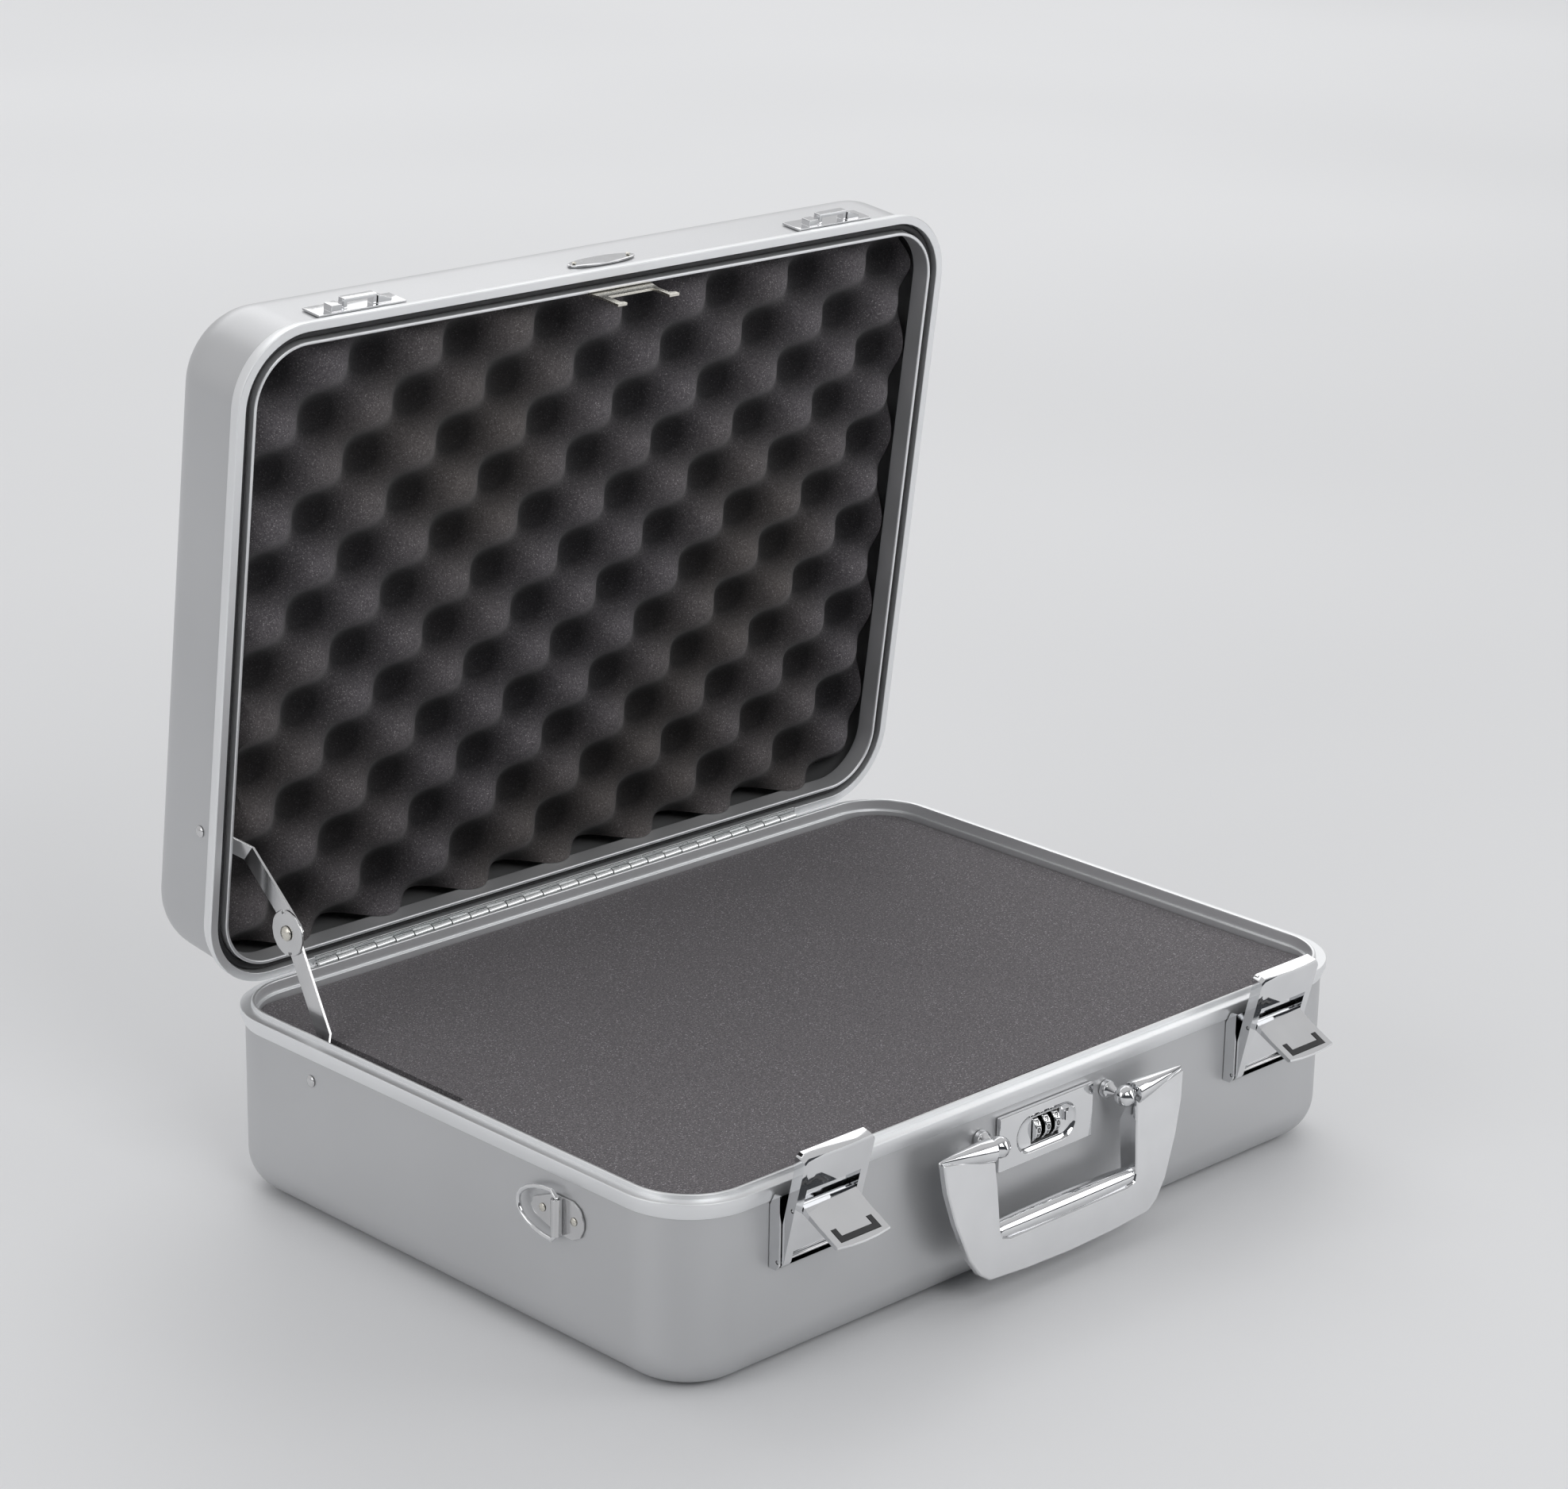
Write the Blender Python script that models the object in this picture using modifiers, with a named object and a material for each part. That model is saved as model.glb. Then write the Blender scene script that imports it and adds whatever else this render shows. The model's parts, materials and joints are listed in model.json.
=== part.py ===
"""Hard aluminium equipment case, shown open: a base and a lid on a piano hinge, each with
a rim extrusion and a foam lining, two draw latches, a carrying handle, a three-dial lock,
a folding lid stay and two strap rings.

Lengths are in metres. X runs along the case, Y from front to back, Z up. The origin is the
middle of the flat bottom. Lid pieces are drawn as they lie when the lid is shut and are
turned open by the empty on the hinge axis; the other moving pieces work the same way.
"""

from math import acos, asin, atan2, cos, hypot, pi, radians, sin, tau

import bmesh
import bpy
from mathutils import Matrix, Vector

# Overall sizes
CASE_W = 0.457
CASE_D = 0.332
BASE_H = 0.093
LID_H = 0.059
CORNER_R = 0.038
BASE_EDGE_R = 0.020
LID_EDGE_R = 0.022
RIM_PROUD = 0.0025
SHELL_T = 0.0012
GAP = 0.0003
LID_OPEN = radians(83)

HALF_W = CASE_W / 2
HALF_D = CASE_D / 2
FRONT_WALL = -HALF_D + RIM_PROUD
LEFT_WALL = -HALF_W + RIM_PROUD
INNER_WALL = RIM_PROUD + SHELL_T
HINGE = Vector((0.0, HALF_D, BASE_H))

# Rim extrusions, as (inset from the outline, height from the mating plane)
SLOT_OUT = RIM_PROUD - GAP
SLOT_IN = INNER_WALL + GAP
BASE_RIM_IN = 0.0088
BASE_RIM_DEPTH = 0.0115
LID_RIM_IN = 0.0108
LID_RIM_DEPTH = 0.0112
TONGUE_OUT = 0.0052
TONGUE_IN = 0.0074
TONGUE_H = 0.0021
GROOVE_OUT = 0.0044
GROOVE_IN = 0.0090
GROOVE_DEPTH = 0.0062

# Piano hinge
KNUCKLES = 27
HINGE_LENGTH = 0.326
BARREL_R = 0.0026
BORE_R = 0.0011
HINGE_PIN_R = 0.0008
LEAF_T = 0.0008
LEAF_DROP = 0.0002
LEAF_IN = 0.0042
LEAF_RECESS = 0.0013
BARREL_CLEAR = 0.0006

# Foam
FOAM_BELOW_RIM = 0.006
FOAM_CLEAR = 0.0004
LID_FOAM_BELOW_RIM = 0.013
NOTCH_DEPTH_X = 0.0130

# Latches
LATCH_X = 0.153
COVER_W = 0.0425
COVER_H = 0.0550
COVER_R = 0.0025
COVER_BULGE = 0.0008
COVER_LEAN = radians(12.6)
COVER_PIVOT = Vector((0.0, FRONT_WALL - 0.0053, BASE_H - 0.0355))
HOUSING_W = 0.0456
HOUSING_WALL = 0.0011
HOUSING_DEPTH = 0.0063
LATCH_PIN_R = 0.0007
LATCH_BORE_R = 0.0010
LEVER_W = 0.0322
LEVER_L = 0.0270
LEVER_ROOT_H = 0.0272
LEVER_ROOT_D = 0.0012
LEVER_OPEN = radians(74)
LEVER_RECESS_D = 0.0035

# Handle
HANDLE_PIVOT = Vector((0.0, FRONT_WALL - 0.0125, BASE_H - 0.0185))
HANDLE_PIVOT_X = 0.043
HANDLE_LEAN = radians(5)
BALL_R = 0.0053
HANDLE_IN_X = 0.0488
HANDLE_TIP_X = 0.083
HANDLE_T = 0.0040
HORN_R = 0.0058
CHEEK_X = 0.0478
CHEEK_W = 0.0054
CHEEK_D = 0.0106

# Lock
LOCK_Z = BASE_H - 0.0250
LOCK_PLATE_W = 0.064
LOCK_PLATE_H = 0.027
LOCK_PLATE_T = 0.0025
DIAL_R = 0.0070
DIAL_W = 0.0046
DIAL_PITCH = 0.0066
DIAL_SHIFT = 0.0010
DIAL_AXIS_Y = FRONT_WALL + 0.0034

# Lid stay, on the left wall
STAY_BASE_Y = HALF_D - 0.0757
STAY_BASE_Z = BASE_H - 0.0188
STAY_LID_V = 0.0815
STAY_LID_W = 0.0152
STAY_LOWER_L = 0.0691
STAY_UPPER_L = 0.0631
STAY_ARM_W = 0.0102
STAY_ARM_T = 0.0014
STAY_WALL_X = LEFT_WALL + 0.0096
STAY_LOWER_X = LEFT_WALL + 0.0150
STAY_UPPER_X = LEFT_WALL + 0.0180
STAY_DISC_R = 0.0113
WALL_SHANK_R = 0.0016

# Strap rings
RING_Y = -0.0858
RING_Z = BASE_H - 0.0258
RING_WIRE_R = 0.0012
RING_HALF_H = 0.0118
RING_REACH = 0.0255
RING_OUT = 0.0036
SLEEVE_R = 0.0026
CLIP_T = 0.0009

MATERIALS = {
    "anodised_shell": ((0.62, 0.63, 0.64, 1), 1.0, 0.42),
    "rim_aluminium": ((0.72, 0.73, 0.74, 1), 1.0, 0.33),
    "hinge_aluminium": ((0.70, 0.71, 0.72, 1), 1.0, 0.38),
    "bright_chrome": ((0.80, 0.80, 0.81, 1), 1.0, 0.08),
    "steel_strip": ((0.66, 0.66, 0.66, 1), 1.0, 0.24),
    "nickel_fitting": ((0.68, 0.66, 0.60, 1), 1.0, 0.28),
    "black_rubber": ((0.015, 0.015, 0.016, 1), 0.0, 0.55),
    "black_inlay": ((0.02, 0.02, 0.022, 1), 0.0, 0.5),
    "base_foam_grey": ((0.09, 0.085, 0.09, 1), 0.0, 0.95),
    "lid_foam_grey": ((0.035, 0.033, 0.033, 1), 0.0, 0.95),
}


# ---------------------------------------------------------------- scene and helpers


def clear_scene():
    for thing in list(bpy.data.objects):
        bpy.data.objects.remove(thing, do_unlink=True)


def new_collection(name):
    collection = bpy.data.collections.new(name)
    bpy.context.scene.collection.children.link(collection)
    return collection


def make_material(name):
    colour, metallic, roughness = MATERIALS[name]
    material = bpy.data.materials.new(name)
    material.use_nodes = True
    shader = material.node_tree.nodes["Principled BSDF"]
    shader.inputs["Base Color"].default_value = colour
    shader.inputs["Metallic"].default_value = metallic
    shader.inputs["Roughness"].default_value = roughness
    return material


def add_mesh(name, bm):
    """An object from a bmesh, with its normals facing out."""
    bmesh.ops.recalc_face_normals(bm, faces=bm.faces)
    mesh = bpy.data.meshes.new(name)
    bm.to_mesh(mesh)
    bm.free()
    thing = bpy.data.objects.new(name, mesh)
    CASE.objects.link(thing)
    return thing


def loft(name, sections, closed=False):
    """A solid skinned over sections that all have the same number of points."""
    bm = bmesh.new()
    rings = [[bm.verts.new(point) for point in section] for section in sections]
    pairs = list(zip(rings, rings[1:]))
    if closed:
        pairs.append((rings[-1], rings[0]))
    for one, two in pairs:
        for i in range(len(one)):
            j = (i + 1) % len(one)
            bm.faces.new((one[i], one[j], two[j], two[i]))
    if not closed:
        bm.faces.new(rings[0])
        bm.faces.new(list(reversed(rings[-1])))
    return add_mesh(name, bm)


def box(name, low, high):
    corners = [(0, 0), (1, 0), (1, 1), (0, 1)]
    span = [(low[k], high[k]) for k in range(3)]
    return loft(
        name,
        [[(span[0][a], span[1][b], span[2][c]) for a, b in corners] for c in (0, 1)],
    )


def prism_x(name, outline, x_low, x_high):
    """An outline of (y, z) points drawn out along X."""
    return loft(name, [[(x, y, z) for y, z in outline] for x in (x_low, x_high)])


def prism_y(name, outline, y_low, y_high):
    """An outline of (x, z) points drawn out along Y."""
    return loft(name, [[(x, y, z) for x, z in outline] for y in (y_low, y_high)])


def turned(name, centre, axis, stations, sides=16):
    """A solid of revolution: stations are (distance along the axis, radius)."""
    along = Vector(axis).normalized()
    across = along.orthogonal().normalized()
    up = along.cross(across)
    sections = []
    for distance, radius in stations:
        middle = Vector(centre) + along * distance
        turns = [tau * (i + 0.5) / sides for i in range(sides)]
        sections.append(
            [middle + radius * (across * cos(a) + up * sin(a)) for a in turns]
        )
    return loft(name, sections)


def tube(name, path, normal, radius, sides=8):
    """A round wire along a closed flat path."""
    normal = Vector(normal)
    sections = []
    for i, point in enumerate(path):
        ahead = Vector(path[(i + 1) % len(path)])
        behind = Vector(path[i - 1])
        side = (ahead - behind).normalized().cross(normal)
        turns = [tau * k / sides for k in range(sides)]
        sections.append(
            [Vector(point) + radius * (side * cos(a) + normal * sin(a)) for a in turns]
        )
    return loft(name, sections, closed=True)


def bake(thing):
    """Replaces the object's mesh by the one that its modifiers make."""
    graph = bpy.context.evaluated_depsgraph_get()
    baked = bpy.data.meshes.new_from_object(thing.evaluated_get(graph))
    thing.modifiers.clear()
    thing.data = baked


def combine(thing, other, operation):
    """Joins the other solid to this one or cuts it from this one, and removes the other."""
    step = thing.modifiers.new(operation.lower(), "BOOLEAN")
    step.operation = operation
    step.solver = "EXACT"
    step.object = other
    bpy.context.view_layer.update()
    bake(thing)
    bpy.data.objects.remove(other, do_unlink=True)


def join(thing, *others):
    for other in others:
        combine(thing, other, "UNION")
    return thing


def cut(thing, *others):
    for other in others:
        combine(thing, other, "DIFFERENCE")
    return thing


def soften(thing, width, segments=1, angle=40):
    step = thing.modifiers.new("edges", "BEVEL")
    step.width = width
    step.segments = segments
    step.limit_method = "ANGLE"
    step.angle_limit = radians(angle)
    step.harden_normals = False
    bpy.context.view_layer.update()
    bake(thing)
    return thing


def shade_round(thing, angle=35):
    thing.data.polygons.foreach_set("use_smooth", [True] * len(thing.data.polygons))
    sharp = radians(angle)
    bm = bmesh.new()
    bm.from_mesh(thing.data)
    for edge in bm.edges:
        edge.smooth = edge.is_manifold and edge.calc_face_angle(0) < sharp
    bm.to_mesh(thing.data)
    bm.free()


def finish(thing, material_name, carrier=None, smooth=True):
    """Gives the object its own material and hangs it on the empty that carries it."""
    material = SHARED[material_name]
    thing.data.materials.clear()
    thing.data.materials.append(material)
    if smooth:
        shade_round(thing)
    if carrier:
        ride(thing, carrier)
    return thing


def pivot(name, place, carrier=None):
    """An empty on a joint's axis. Its own turn is set once the pieces hang on it."""
    empty = bpy.data.objects.new(name, None)
    empty.empty_display_size = 0.01
    CASE.objects.link(empty)
    empty["drawn_at"] = list(place)
    empty.location = place
    if carrier:
        ride(empty, carrier)
    return empty


def ride(thing, carrier):
    """Parents a piece drawn in case coordinates to an empty that hasn't yet turned."""
    thing.parent = carrier
    thing.matrix_parent_inverse = Matrix.Translation(
        -Vector(carrier["drawn_at"])
    )


def rounded_outline(inset, segments=6):
    """Corner points of the case outline moved in by the inset, going round once."""
    radius = CORNER_R - inset
    corners = [(1, 1, 0), (-1, 1, 1), (-1, -1, 2), (1, -1, 3)]
    points = []
    for sign_x, sign_y, quarter in corners:
        for i in range(segments + 1):
            turn = (quarter + i / segments) * pi / 2
            x = sign_x * (HALF_W - CORNER_R) + radius * cos(turn)
            y = sign_y * (HALF_D - CORNER_R) + radius * sin(turn)
            points.append((x, y))
    return points


def rim_sweep(name, profile, flip=1):
    """A rim profile of (inset, height) points taken round the case outline."""
    rings = [[(x, y, BASE_H + flip * height) for x, y in rounded_outline(inset)]
             for inset, height in profile]
    return loft(name, rings, closed=True)


def shell(name, top_z, bottom_z, edge_r, panel):
    """A deep tray of sheet metal with its open side at top_z."""
    direction = 1 if bottom_z > top_z else -1
    rings = [(RIM_PROUD, top_z)]
    steps = 5
    for i in range(steps + 1):
        turn = i / steps * pi / 2
        inset = RIM_PROUD + edge_r * (1 - cos(turn))
        rings.append((inset, bottom_z - direction * edge_r * (1 - sin(turn))))
    if panel:
        rings.append((RIM_PROUD + edge_r + panel, bottom_z))
        rings.append((RIM_PROUD + edge_r + panel + 0.003, bottom_z + direction * 0.0015))
    bm = bmesh.new()
    loops = [[bm.verts.new((x, y, z)) for x, y in rounded_outline(min(inset, CORNER_R - 0.002))]
             for inset, z in rings[: steps + 2]]
    for inset, z in rings[steps + 2:]:
        shrink_x = (HALF_W - inset) / (HALF_W - rings[steps + 1][0])
        shrink_y = (HALF_D - inset) / (HALF_D - rings[steps + 1][0])
        loops.append([bm.verts.new((v.co.x * shrink_x, v.co.y * shrink_y, z))
                      for v in loops[steps + 1]])
    for one, two in zip(loops, loops[1:]):
        for i in range(len(one)):
            j = (i + 1) % len(one)
            bm.faces.new((one[i], one[j], two[j], two[i]))
    bm.faces.new(loops[-1])
    thing = add_mesh(name, bm)
    thicken = thing.modifiers.new("sheet", "SOLIDIFY")
    thicken.thickness = SHELL_T
    thicken.offset = -1 if is_facing_out(thing) else 1
    thicken.use_even_offset = True
    bpy.context.view_layer.update()
    bake(thing)
    return thing


def is_facing_out(thing):
    """Whether the tray's big flat face points away from the middle of the tray."""
    flat = max(thing.data.polygons, key=lambda face: face.area)
    middle = sum((v.co for v in thing.data.vertices), Vector()) / len(thing.data.vertices)
    return flat.normal.dot(flat.center - middle) > 0


# ---------------------------------------------------------------- shells, rims, hinge


def lock_window():
    low = (DIAL_SHIFT - 0.0105, FRONT_WALL - 0.001, LOCK_Z - 0.0072)
    high = (DIAL_SHIFT + 0.0105, FRONT_WALL + 0.004, LOCK_Z + 0.0072)
    return box("lock_window", low, high)


def base_shell():
    thing = shell("base_shell", BASE_H - 0.0024, 0.0, BASE_EDGE_R, 0)
    cut(thing, lock_window(), wall_hole((STAY_BASE_Y, STAY_BASE_Z)))
    return finish(thing, "anodised_shell")


def lid_shell(lid):
    thing = shell("lid_shell", BASE_H + 0.0038, BASE_H + LID_H - 0.0015, LID_EDGE_R, 0.012)
    cut(thing, wall_hole(stay_points()[1]))
    return finish(thing, "anodised_shell", lid)


def hinge_recess(name, flip):
    """The room that a leaf and the barrel need in a rim."""
    half = HINGE_LENGTH / 2 + 0.0006
    clear = BARREL_R + BARREL_CLEAR
    turns = [(i + 0.5) * tau / 16 for i in range(16)]
    barrel = prism_x(name, [(HALF_D + clear * cos(a), BASE_H + clear * sin(a)) for a in turns],
                     -half, half)
    low = min(-LEAF_RECESS * flip, 0.004 * flip)
    high = max(-LEAF_RECESS * flip, 0.004 * flip)
    slot = box(
        name + "_slot",
        (-half, HALF_D - LEAF_IN - 0.0004, BASE_H + low),
        (half, HALF_D + 0.002, BASE_H + high),
    )
    return join(barrel, slot)


def base_frame():
    profile = [
        (0.0004, 0.0), (0.0, -0.0004), (0.0, -0.0033), (0.0018, -0.0078),
        (SLOT_OUT, -0.0080), (SLOT_OUT, -0.0021), (SLOT_IN, -0.0021),
        (SLOT_IN, -BASE_RIM_DEPTH), (BASE_RIM_IN - 0.0003, -BASE_RIM_DEPTH),
        (BASE_RIM_IN, -BASE_RIM_DEPTH + 0.0003), (BASE_RIM_IN, -0.0040),
        (BASE_RIM_IN - 0.0004, -0.0036), (TONGUE_IN + 0.0002, -0.0036),
        (TONGUE_IN, -0.0034), (TONGUE_IN, TONGUE_H - 0.0005),
        (TONGUE_IN - 0.0005, TONGUE_H), (TONGUE_OUT + 0.0008, TONGUE_H),
        (TONGUE_OUT + 0.0003, TONGUE_H - 0.0005), (TONGUE_OUT, 0.0),
    ]
    thing = rim_sweep("base_frame", profile)
    cut(thing, hinge_recess("base_hinge_recess", 1))
    return finish(thing, "rim_aluminium")


def lid_frame(lid):
    profile = [
        (0.0004, GAP), (0.0, GAP + 0.0004), (0.0, 0.0036), (0.0018, 0.0080),
        (SLOT_OUT, 0.0082), (SLOT_OUT, 0.0034), (SLOT_IN, 0.0034),
        (SLOT_IN, LID_RIM_DEPTH), (LID_RIM_IN - 0.0004, LID_RIM_DEPTH),
        (LID_RIM_IN, LID_RIM_DEPTH - 0.0004), (LID_RIM_IN, GAP + 0.0004),
        (LID_RIM_IN - 0.0004, GAP), (GROOVE_IN + 0.0002, GAP), (GROOVE_IN, GAP + 0.0002),
        (GROOVE_IN, GROOVE_DEPTH), (GROOVE_OUT, GROOVE_DEPTH), (GROOVE_OUT, GAP + 0.0002),
        (GROOVE_OUT - 0.0002, GAP),
    ]
    thing = rim_sweep("lid_frame", profile)
    cut(thing, hinge_recess("lid_hinge_recess", -1))
    return finish(thing, "rim_aluminium", lid)


def lid_gasket(lid):
    low = TONGUE_H + 0.0007
    high = GROOVE_DEPTH - GAP
    out = GROOVE_OUT + GAP
    inner = GROOVE_IN - GAP
    profile = [
        (out, low + 0.0008), (out, high), (inner, high), (inner, low + 0.0008),
        (inner - 0.0010, low), (out + 0.0010, low),
    ]
    return finish(rim_sweep("lid_gasket", profile), "black_rubber", lid)


def hinge_leaf(name, flip, first):
    """One leaf with every second knuckle; flip is 1 for the base and -1 for the lid."""
    pitch = HINGE_LENGTH / KNUCKLES
    length = pitch - 0.0006
    near = HALF_D - BARREL_R - 0.0005
    flat = sorted((-flip * LEAF_DROP, -flip * (LEAF_DROP + LEAF_T)))
    strip = box(
        name,
        (-HINGE_LENGTH / 2, HALF_D - LEAF_IN, BASE_H + flat[0]),
        (HINGE_LENGTH / 2, near, BASE_H + flat[1]),
    )
    bm = bmesh.new()
    for k in range(first, KNUCKLES, 2):
        middle = -HINGE_LENGTH / 2 + (k + 0.5) * pitch
        add_knuckle(bm, middle - length / 2, middle + length / 2, flat, near)
    knuckles = add_mesh(name + "_knuckles", bm)
    return join(strip, knuckles)


def add_knuckle(bm, x_low, x_high, flat, near):
    """A bored barrel with a tail that overlaps the leaf."""
    sides = 14
    reach_low = (BARREL_R**2 - flat[0] ** 2) ** 0.5
    reach_high = (BARREL_R**2 - flat[1] ** 2) ** 0.5
    start = pi - asin(flat[1] / BARREL_R)
    stop = -pi - asin(flat[0] / BARREL_R)
    outer = [(-reach_high, flat[1])]
    outer += [(BARREL_R * cos(a), BARREL_R * sin(a))
              for a in (start + (stop - start) * i / sides for i in range(1, sides))]
    outer += [(-reach_low, flat[0])]
    tail = near - HALF_D - 0.0004
    outer += [(tail, flat[0]), (tail, flat[1])]
    inner = [(BORE_R * cos(a), BORE_R * sin(a))
             for a in (start + (stop - start) * i / sides for i in range(sides + 1))]
    ends = []
    for x in (x_low, x_high):
        ring_out = [bm.verts.new((x, HALF_D + y, BASE_H + z)) for y, z in outer]
        ring_in = [bm.verts.new((x, HALF_D + y, BASE_H + z)) for y, z in inner]
        ends.append((ring_out, ring_in))
    (out_a, in_a), (out_b, in_b) = ends
    for one, two in ((out_a, out_b), (in_b, in_a)):
        for i in range(len(one)):
            j = (i + 1) % len(one)
            bm.faces.new((one[i], one[j], two[j], two[i]))
    for ring_out, ring_in in ends:
        for i in range(sides):
            bm.faces.new((ring_out[i], ring_out[i + 1], ring_in[i + 1], ring_in[i]))
        bm.faces.new((ring_out[sides], ring_out[sides + 1], ring_out[sides + 2],
                      ring_out[0], ring_in[0], ring_in[sides]))


def hinge(lid):
    base_leaf = hinge_leaf("hinge_leaf_base", 1, 0)
    finish(base_leaf, "hinge_aluminium")
    finish(hinge_leaf("hinge_leaf_lid", -1, 1), "hinge_aluminium", lid)
    pin = turned("hinge_pin", HINGE - Vector((HINGE_LENGTH / 2, 0, 0)), (1, 0, 0),
                 [(0, HINGE_PIN_R), (HINGE_LENGTH, HINGE_PIN_R)], 10)
    finish(pin, "steel_strip")


# ---------------------------------------------------------------- foam


def foam_block(name, inset, top, bottom, edge_r):
    """A plain block with rounded corners and a rounded edge on its buried side."""
    direction = 1 if bottom > top else -1
    rings = [(inset, top)]
    steps = 3
    for i in range(steps + 1):
        turn = i / steps * pi / 2
        rings.append((inset + edge_r * (1 - cos(turn)),
                      bottom - direction * edge_r * (1 - sin(turn))))
    sections = [[(x, y, z) for x, y in rounded_outline(min(step, CORNER_R - 0.001), 4)]
                for step, z in rings]
    return loft(name, sections)


def stay_notch(name, z_low, z_high):
    """The room in a foam block for the folded stay."""
    return box(
        name,
        (-HALF_W, STAY_BASE_Y - 0.0860, z_low),
        (LEFT_WALL + NOTCH_DEPTH_X + 0.0075, STAY_BASE_Y + 0.0150, z_high),
    )


def base_foam():
    top = BASE_H - FOAM_BELOW_RIM
    inset = BASE_RIM_IN + FOAM_CLEAR
    thing = foam_block("base_foam", inset, top, SHELL_T + FOAM_CLEAR, 0.0165)
    cut(thing, stay_notch("foam_stay_notch", STAY_BASE_Z - 0.0080, BASE_H))
    lock_room = box(
        "foam_lock_room",
        (-LOCK_PLATE_W / 2 - 0.001, -HALF_D, LOCK_Z - 0.018),
        (LOCK_PLATE_W / 2 + 0.001, -HALF_D + 0.0250, BASE_H),
    )
    cut(thing, lock_room)
    return finish(thing, "base_foam_grey", smooth=False)


def lid_foam(lid):
    inset = LID_RIM_IN + FOAM_CLEAR
    low = BASE_H + LID_FOAM_BELOW_RIM
    high = BASE_H + LID_H - 0.0015 - SHELL_T - FOAM_CLEAR
    thing = foam_block("lid_foam", inset, low, high, 0.0185)
    cut(thing, stay_notch("lid_foam_stay_notch", BASE_H, BASE_H + 0.0260))
    return finish(thing, "lid_foam_grey", lid, smooth=False)


# ---------------------------------------------------------------- latches


def cover_section(x, height):
    """The outline of a latch cover at one place along its width, measured from its pivot."""
    swell = COVER_BULGE * (1 - (2 * x / COVER_W) ** 2)
    r = COVER_R
    outline = [
        (-r, 0.0), (-0.71 * r, -0.71 * r), (0.0, -r), (0.71 * r, -0.71 * r), (r, 0.0),
        (r + 0.4 * swell, 0.5 * height), (r + 0.0006 + swell, height - 0.0014),
        (r + swell, height - 0.0003), (r - 0.0012, height),
        (-r - 0.0006, height), (-r - 0.0010, height - 0.0004),
        (-r - 0.0010, height - 0.0020), (-r, height - 0.0028),
    ]
    return [(x, -depth, up) for depth, up in outline]


def on_cover(x, depth, height):
    return (x, COVER_PIVOT.y - depth, COVER_PIVOT.z + height)


def latch_cover(name, centre, carrier):
    """The cover, cut at its pivot's own origin and then moved to its place."""
    half = COVER_W / 2
    spots = [(-1.0, 0.0019), (-0.91, 0.0), (-0.5, 0), (0, 0), (0.5, 0), (0.91, 0.0), (1.0, 0.0019)]
    thing = loft(name, [cover_section(k * half, COVER_H - drop) for k, drop in spots])
    recess_half = LEVER_W / 2 + 0.0005
    recess_top = LEVER_ROOT_H + 0.0105
    recess = box(name + "_recess", (-recess_half, -LEVER_RECESS_D - COVER_R, -0.006),
                 (recess_half, LEVER_RECESS_D - COVER_R, recess_top))
    pocket = box(name + "_pocket", (-0.0190, -0.0018, recess_top + 0.0015),
                 (0.0190, 0.0060, COVER_H - 0.0026))
    bore = turned(name + "_bore", (-half - 0.002, 0, 0), (1, 0, 0),
                  [(0, LATCH_BORE_R), (COVER_W + 0.004, LATCH_BORE_R)], 10)
    lever_bore = turned(name + "_lever_bore", (-half - 0.002, -LEVER_ROOT_D, LEVER_ROOT_H),
                        (1, 0, 0), [(0, LATCH_BORE_R), (COVER_W + 0.004, LATCH_BORE_R)], 10)
    cut(thing, recess, pocket, bore, lever_bore)
    thing.data.transform(Matrix.Translation(COVER_PIVOT + Vector((centre, 0, 0))))
    return finish(thing, "bright_chrome", carrier)


def latch_lever(name, centre, carrier):
    """A finger plate, drawn folded flat against its cover."""
    half = LEVER_W / 2

    def section(k):
        reach = LEVER_L - 0.0013 * k * k
        front = [(0.0055, 0.0011), (0.012, 0.0009), (reach - 0.0006, 0.0013)]
        back = [(reach, 0.0006), (reach - 0.0010, -0.0008), (0.012, -0.0012), (0.0055, -0.0014)]
        run = [(0.0, 0.0017), *front, *back, (0.0, -0.0017), (-0.0014, -0.0010), (-0.0017, 0.0004)]
        return [on_cover(k * half, LEVER_ROOT_D + out, LEVER_ROOT_H - along) for along, out in run]

    thing = loft(name, [section(k) for k in (-1, -0.5, 0, 0.5, 1)])
    bore = turned(name + "_bore", on_cover(-half - 0.002, LEVER_ROOT_D, LEVER_ROOT_H), (1, 0, 0),
                  [(0, LATCH_BORE_R), (LEVER_W + 0.004, LATCH_BORE_R)], 10)
    cut(thing, bore, inlay_block(name + "_groove", 0.00025, 0.0005, 0.002))
    shift(thing, centre)
    return finish(thing, "bright_chrome", carrier)


def inlay_block(name, grow, low, high):
    """The C-shaped pad near the lever's tip: grow widens it, low and high set its depth."""
    half = 0.0122 + grow
    tip = LEVER_L - 0.0036 + grow
    bar = tip - 0.0028 - 2 * grow
    leg = LEVER_L - 0.0108 - grow
    inner = half - 0.0028 - 2 * grow
    outline = [(-half, leg), (-half, tip), (half, tip), (half, leg), (inner, leg), (inner, bar),
               (-inner, bar), (-inner, leg)]
    rings = []
    for out in (low, high):
        rings.append([on_cover(x, LEVER_ROOT_D + out, LEVER_ROOT_H - along) for x, along in outline])
    return loft(name, rings)


def latch_inlay(name, centre, carrier):
    thing = inlay_block(name, 0.0, 0.0008, 0.00135)
    shift(thing, centre)
    return finish(thing, "black_inlay", carrier, smooth=False)


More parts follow.
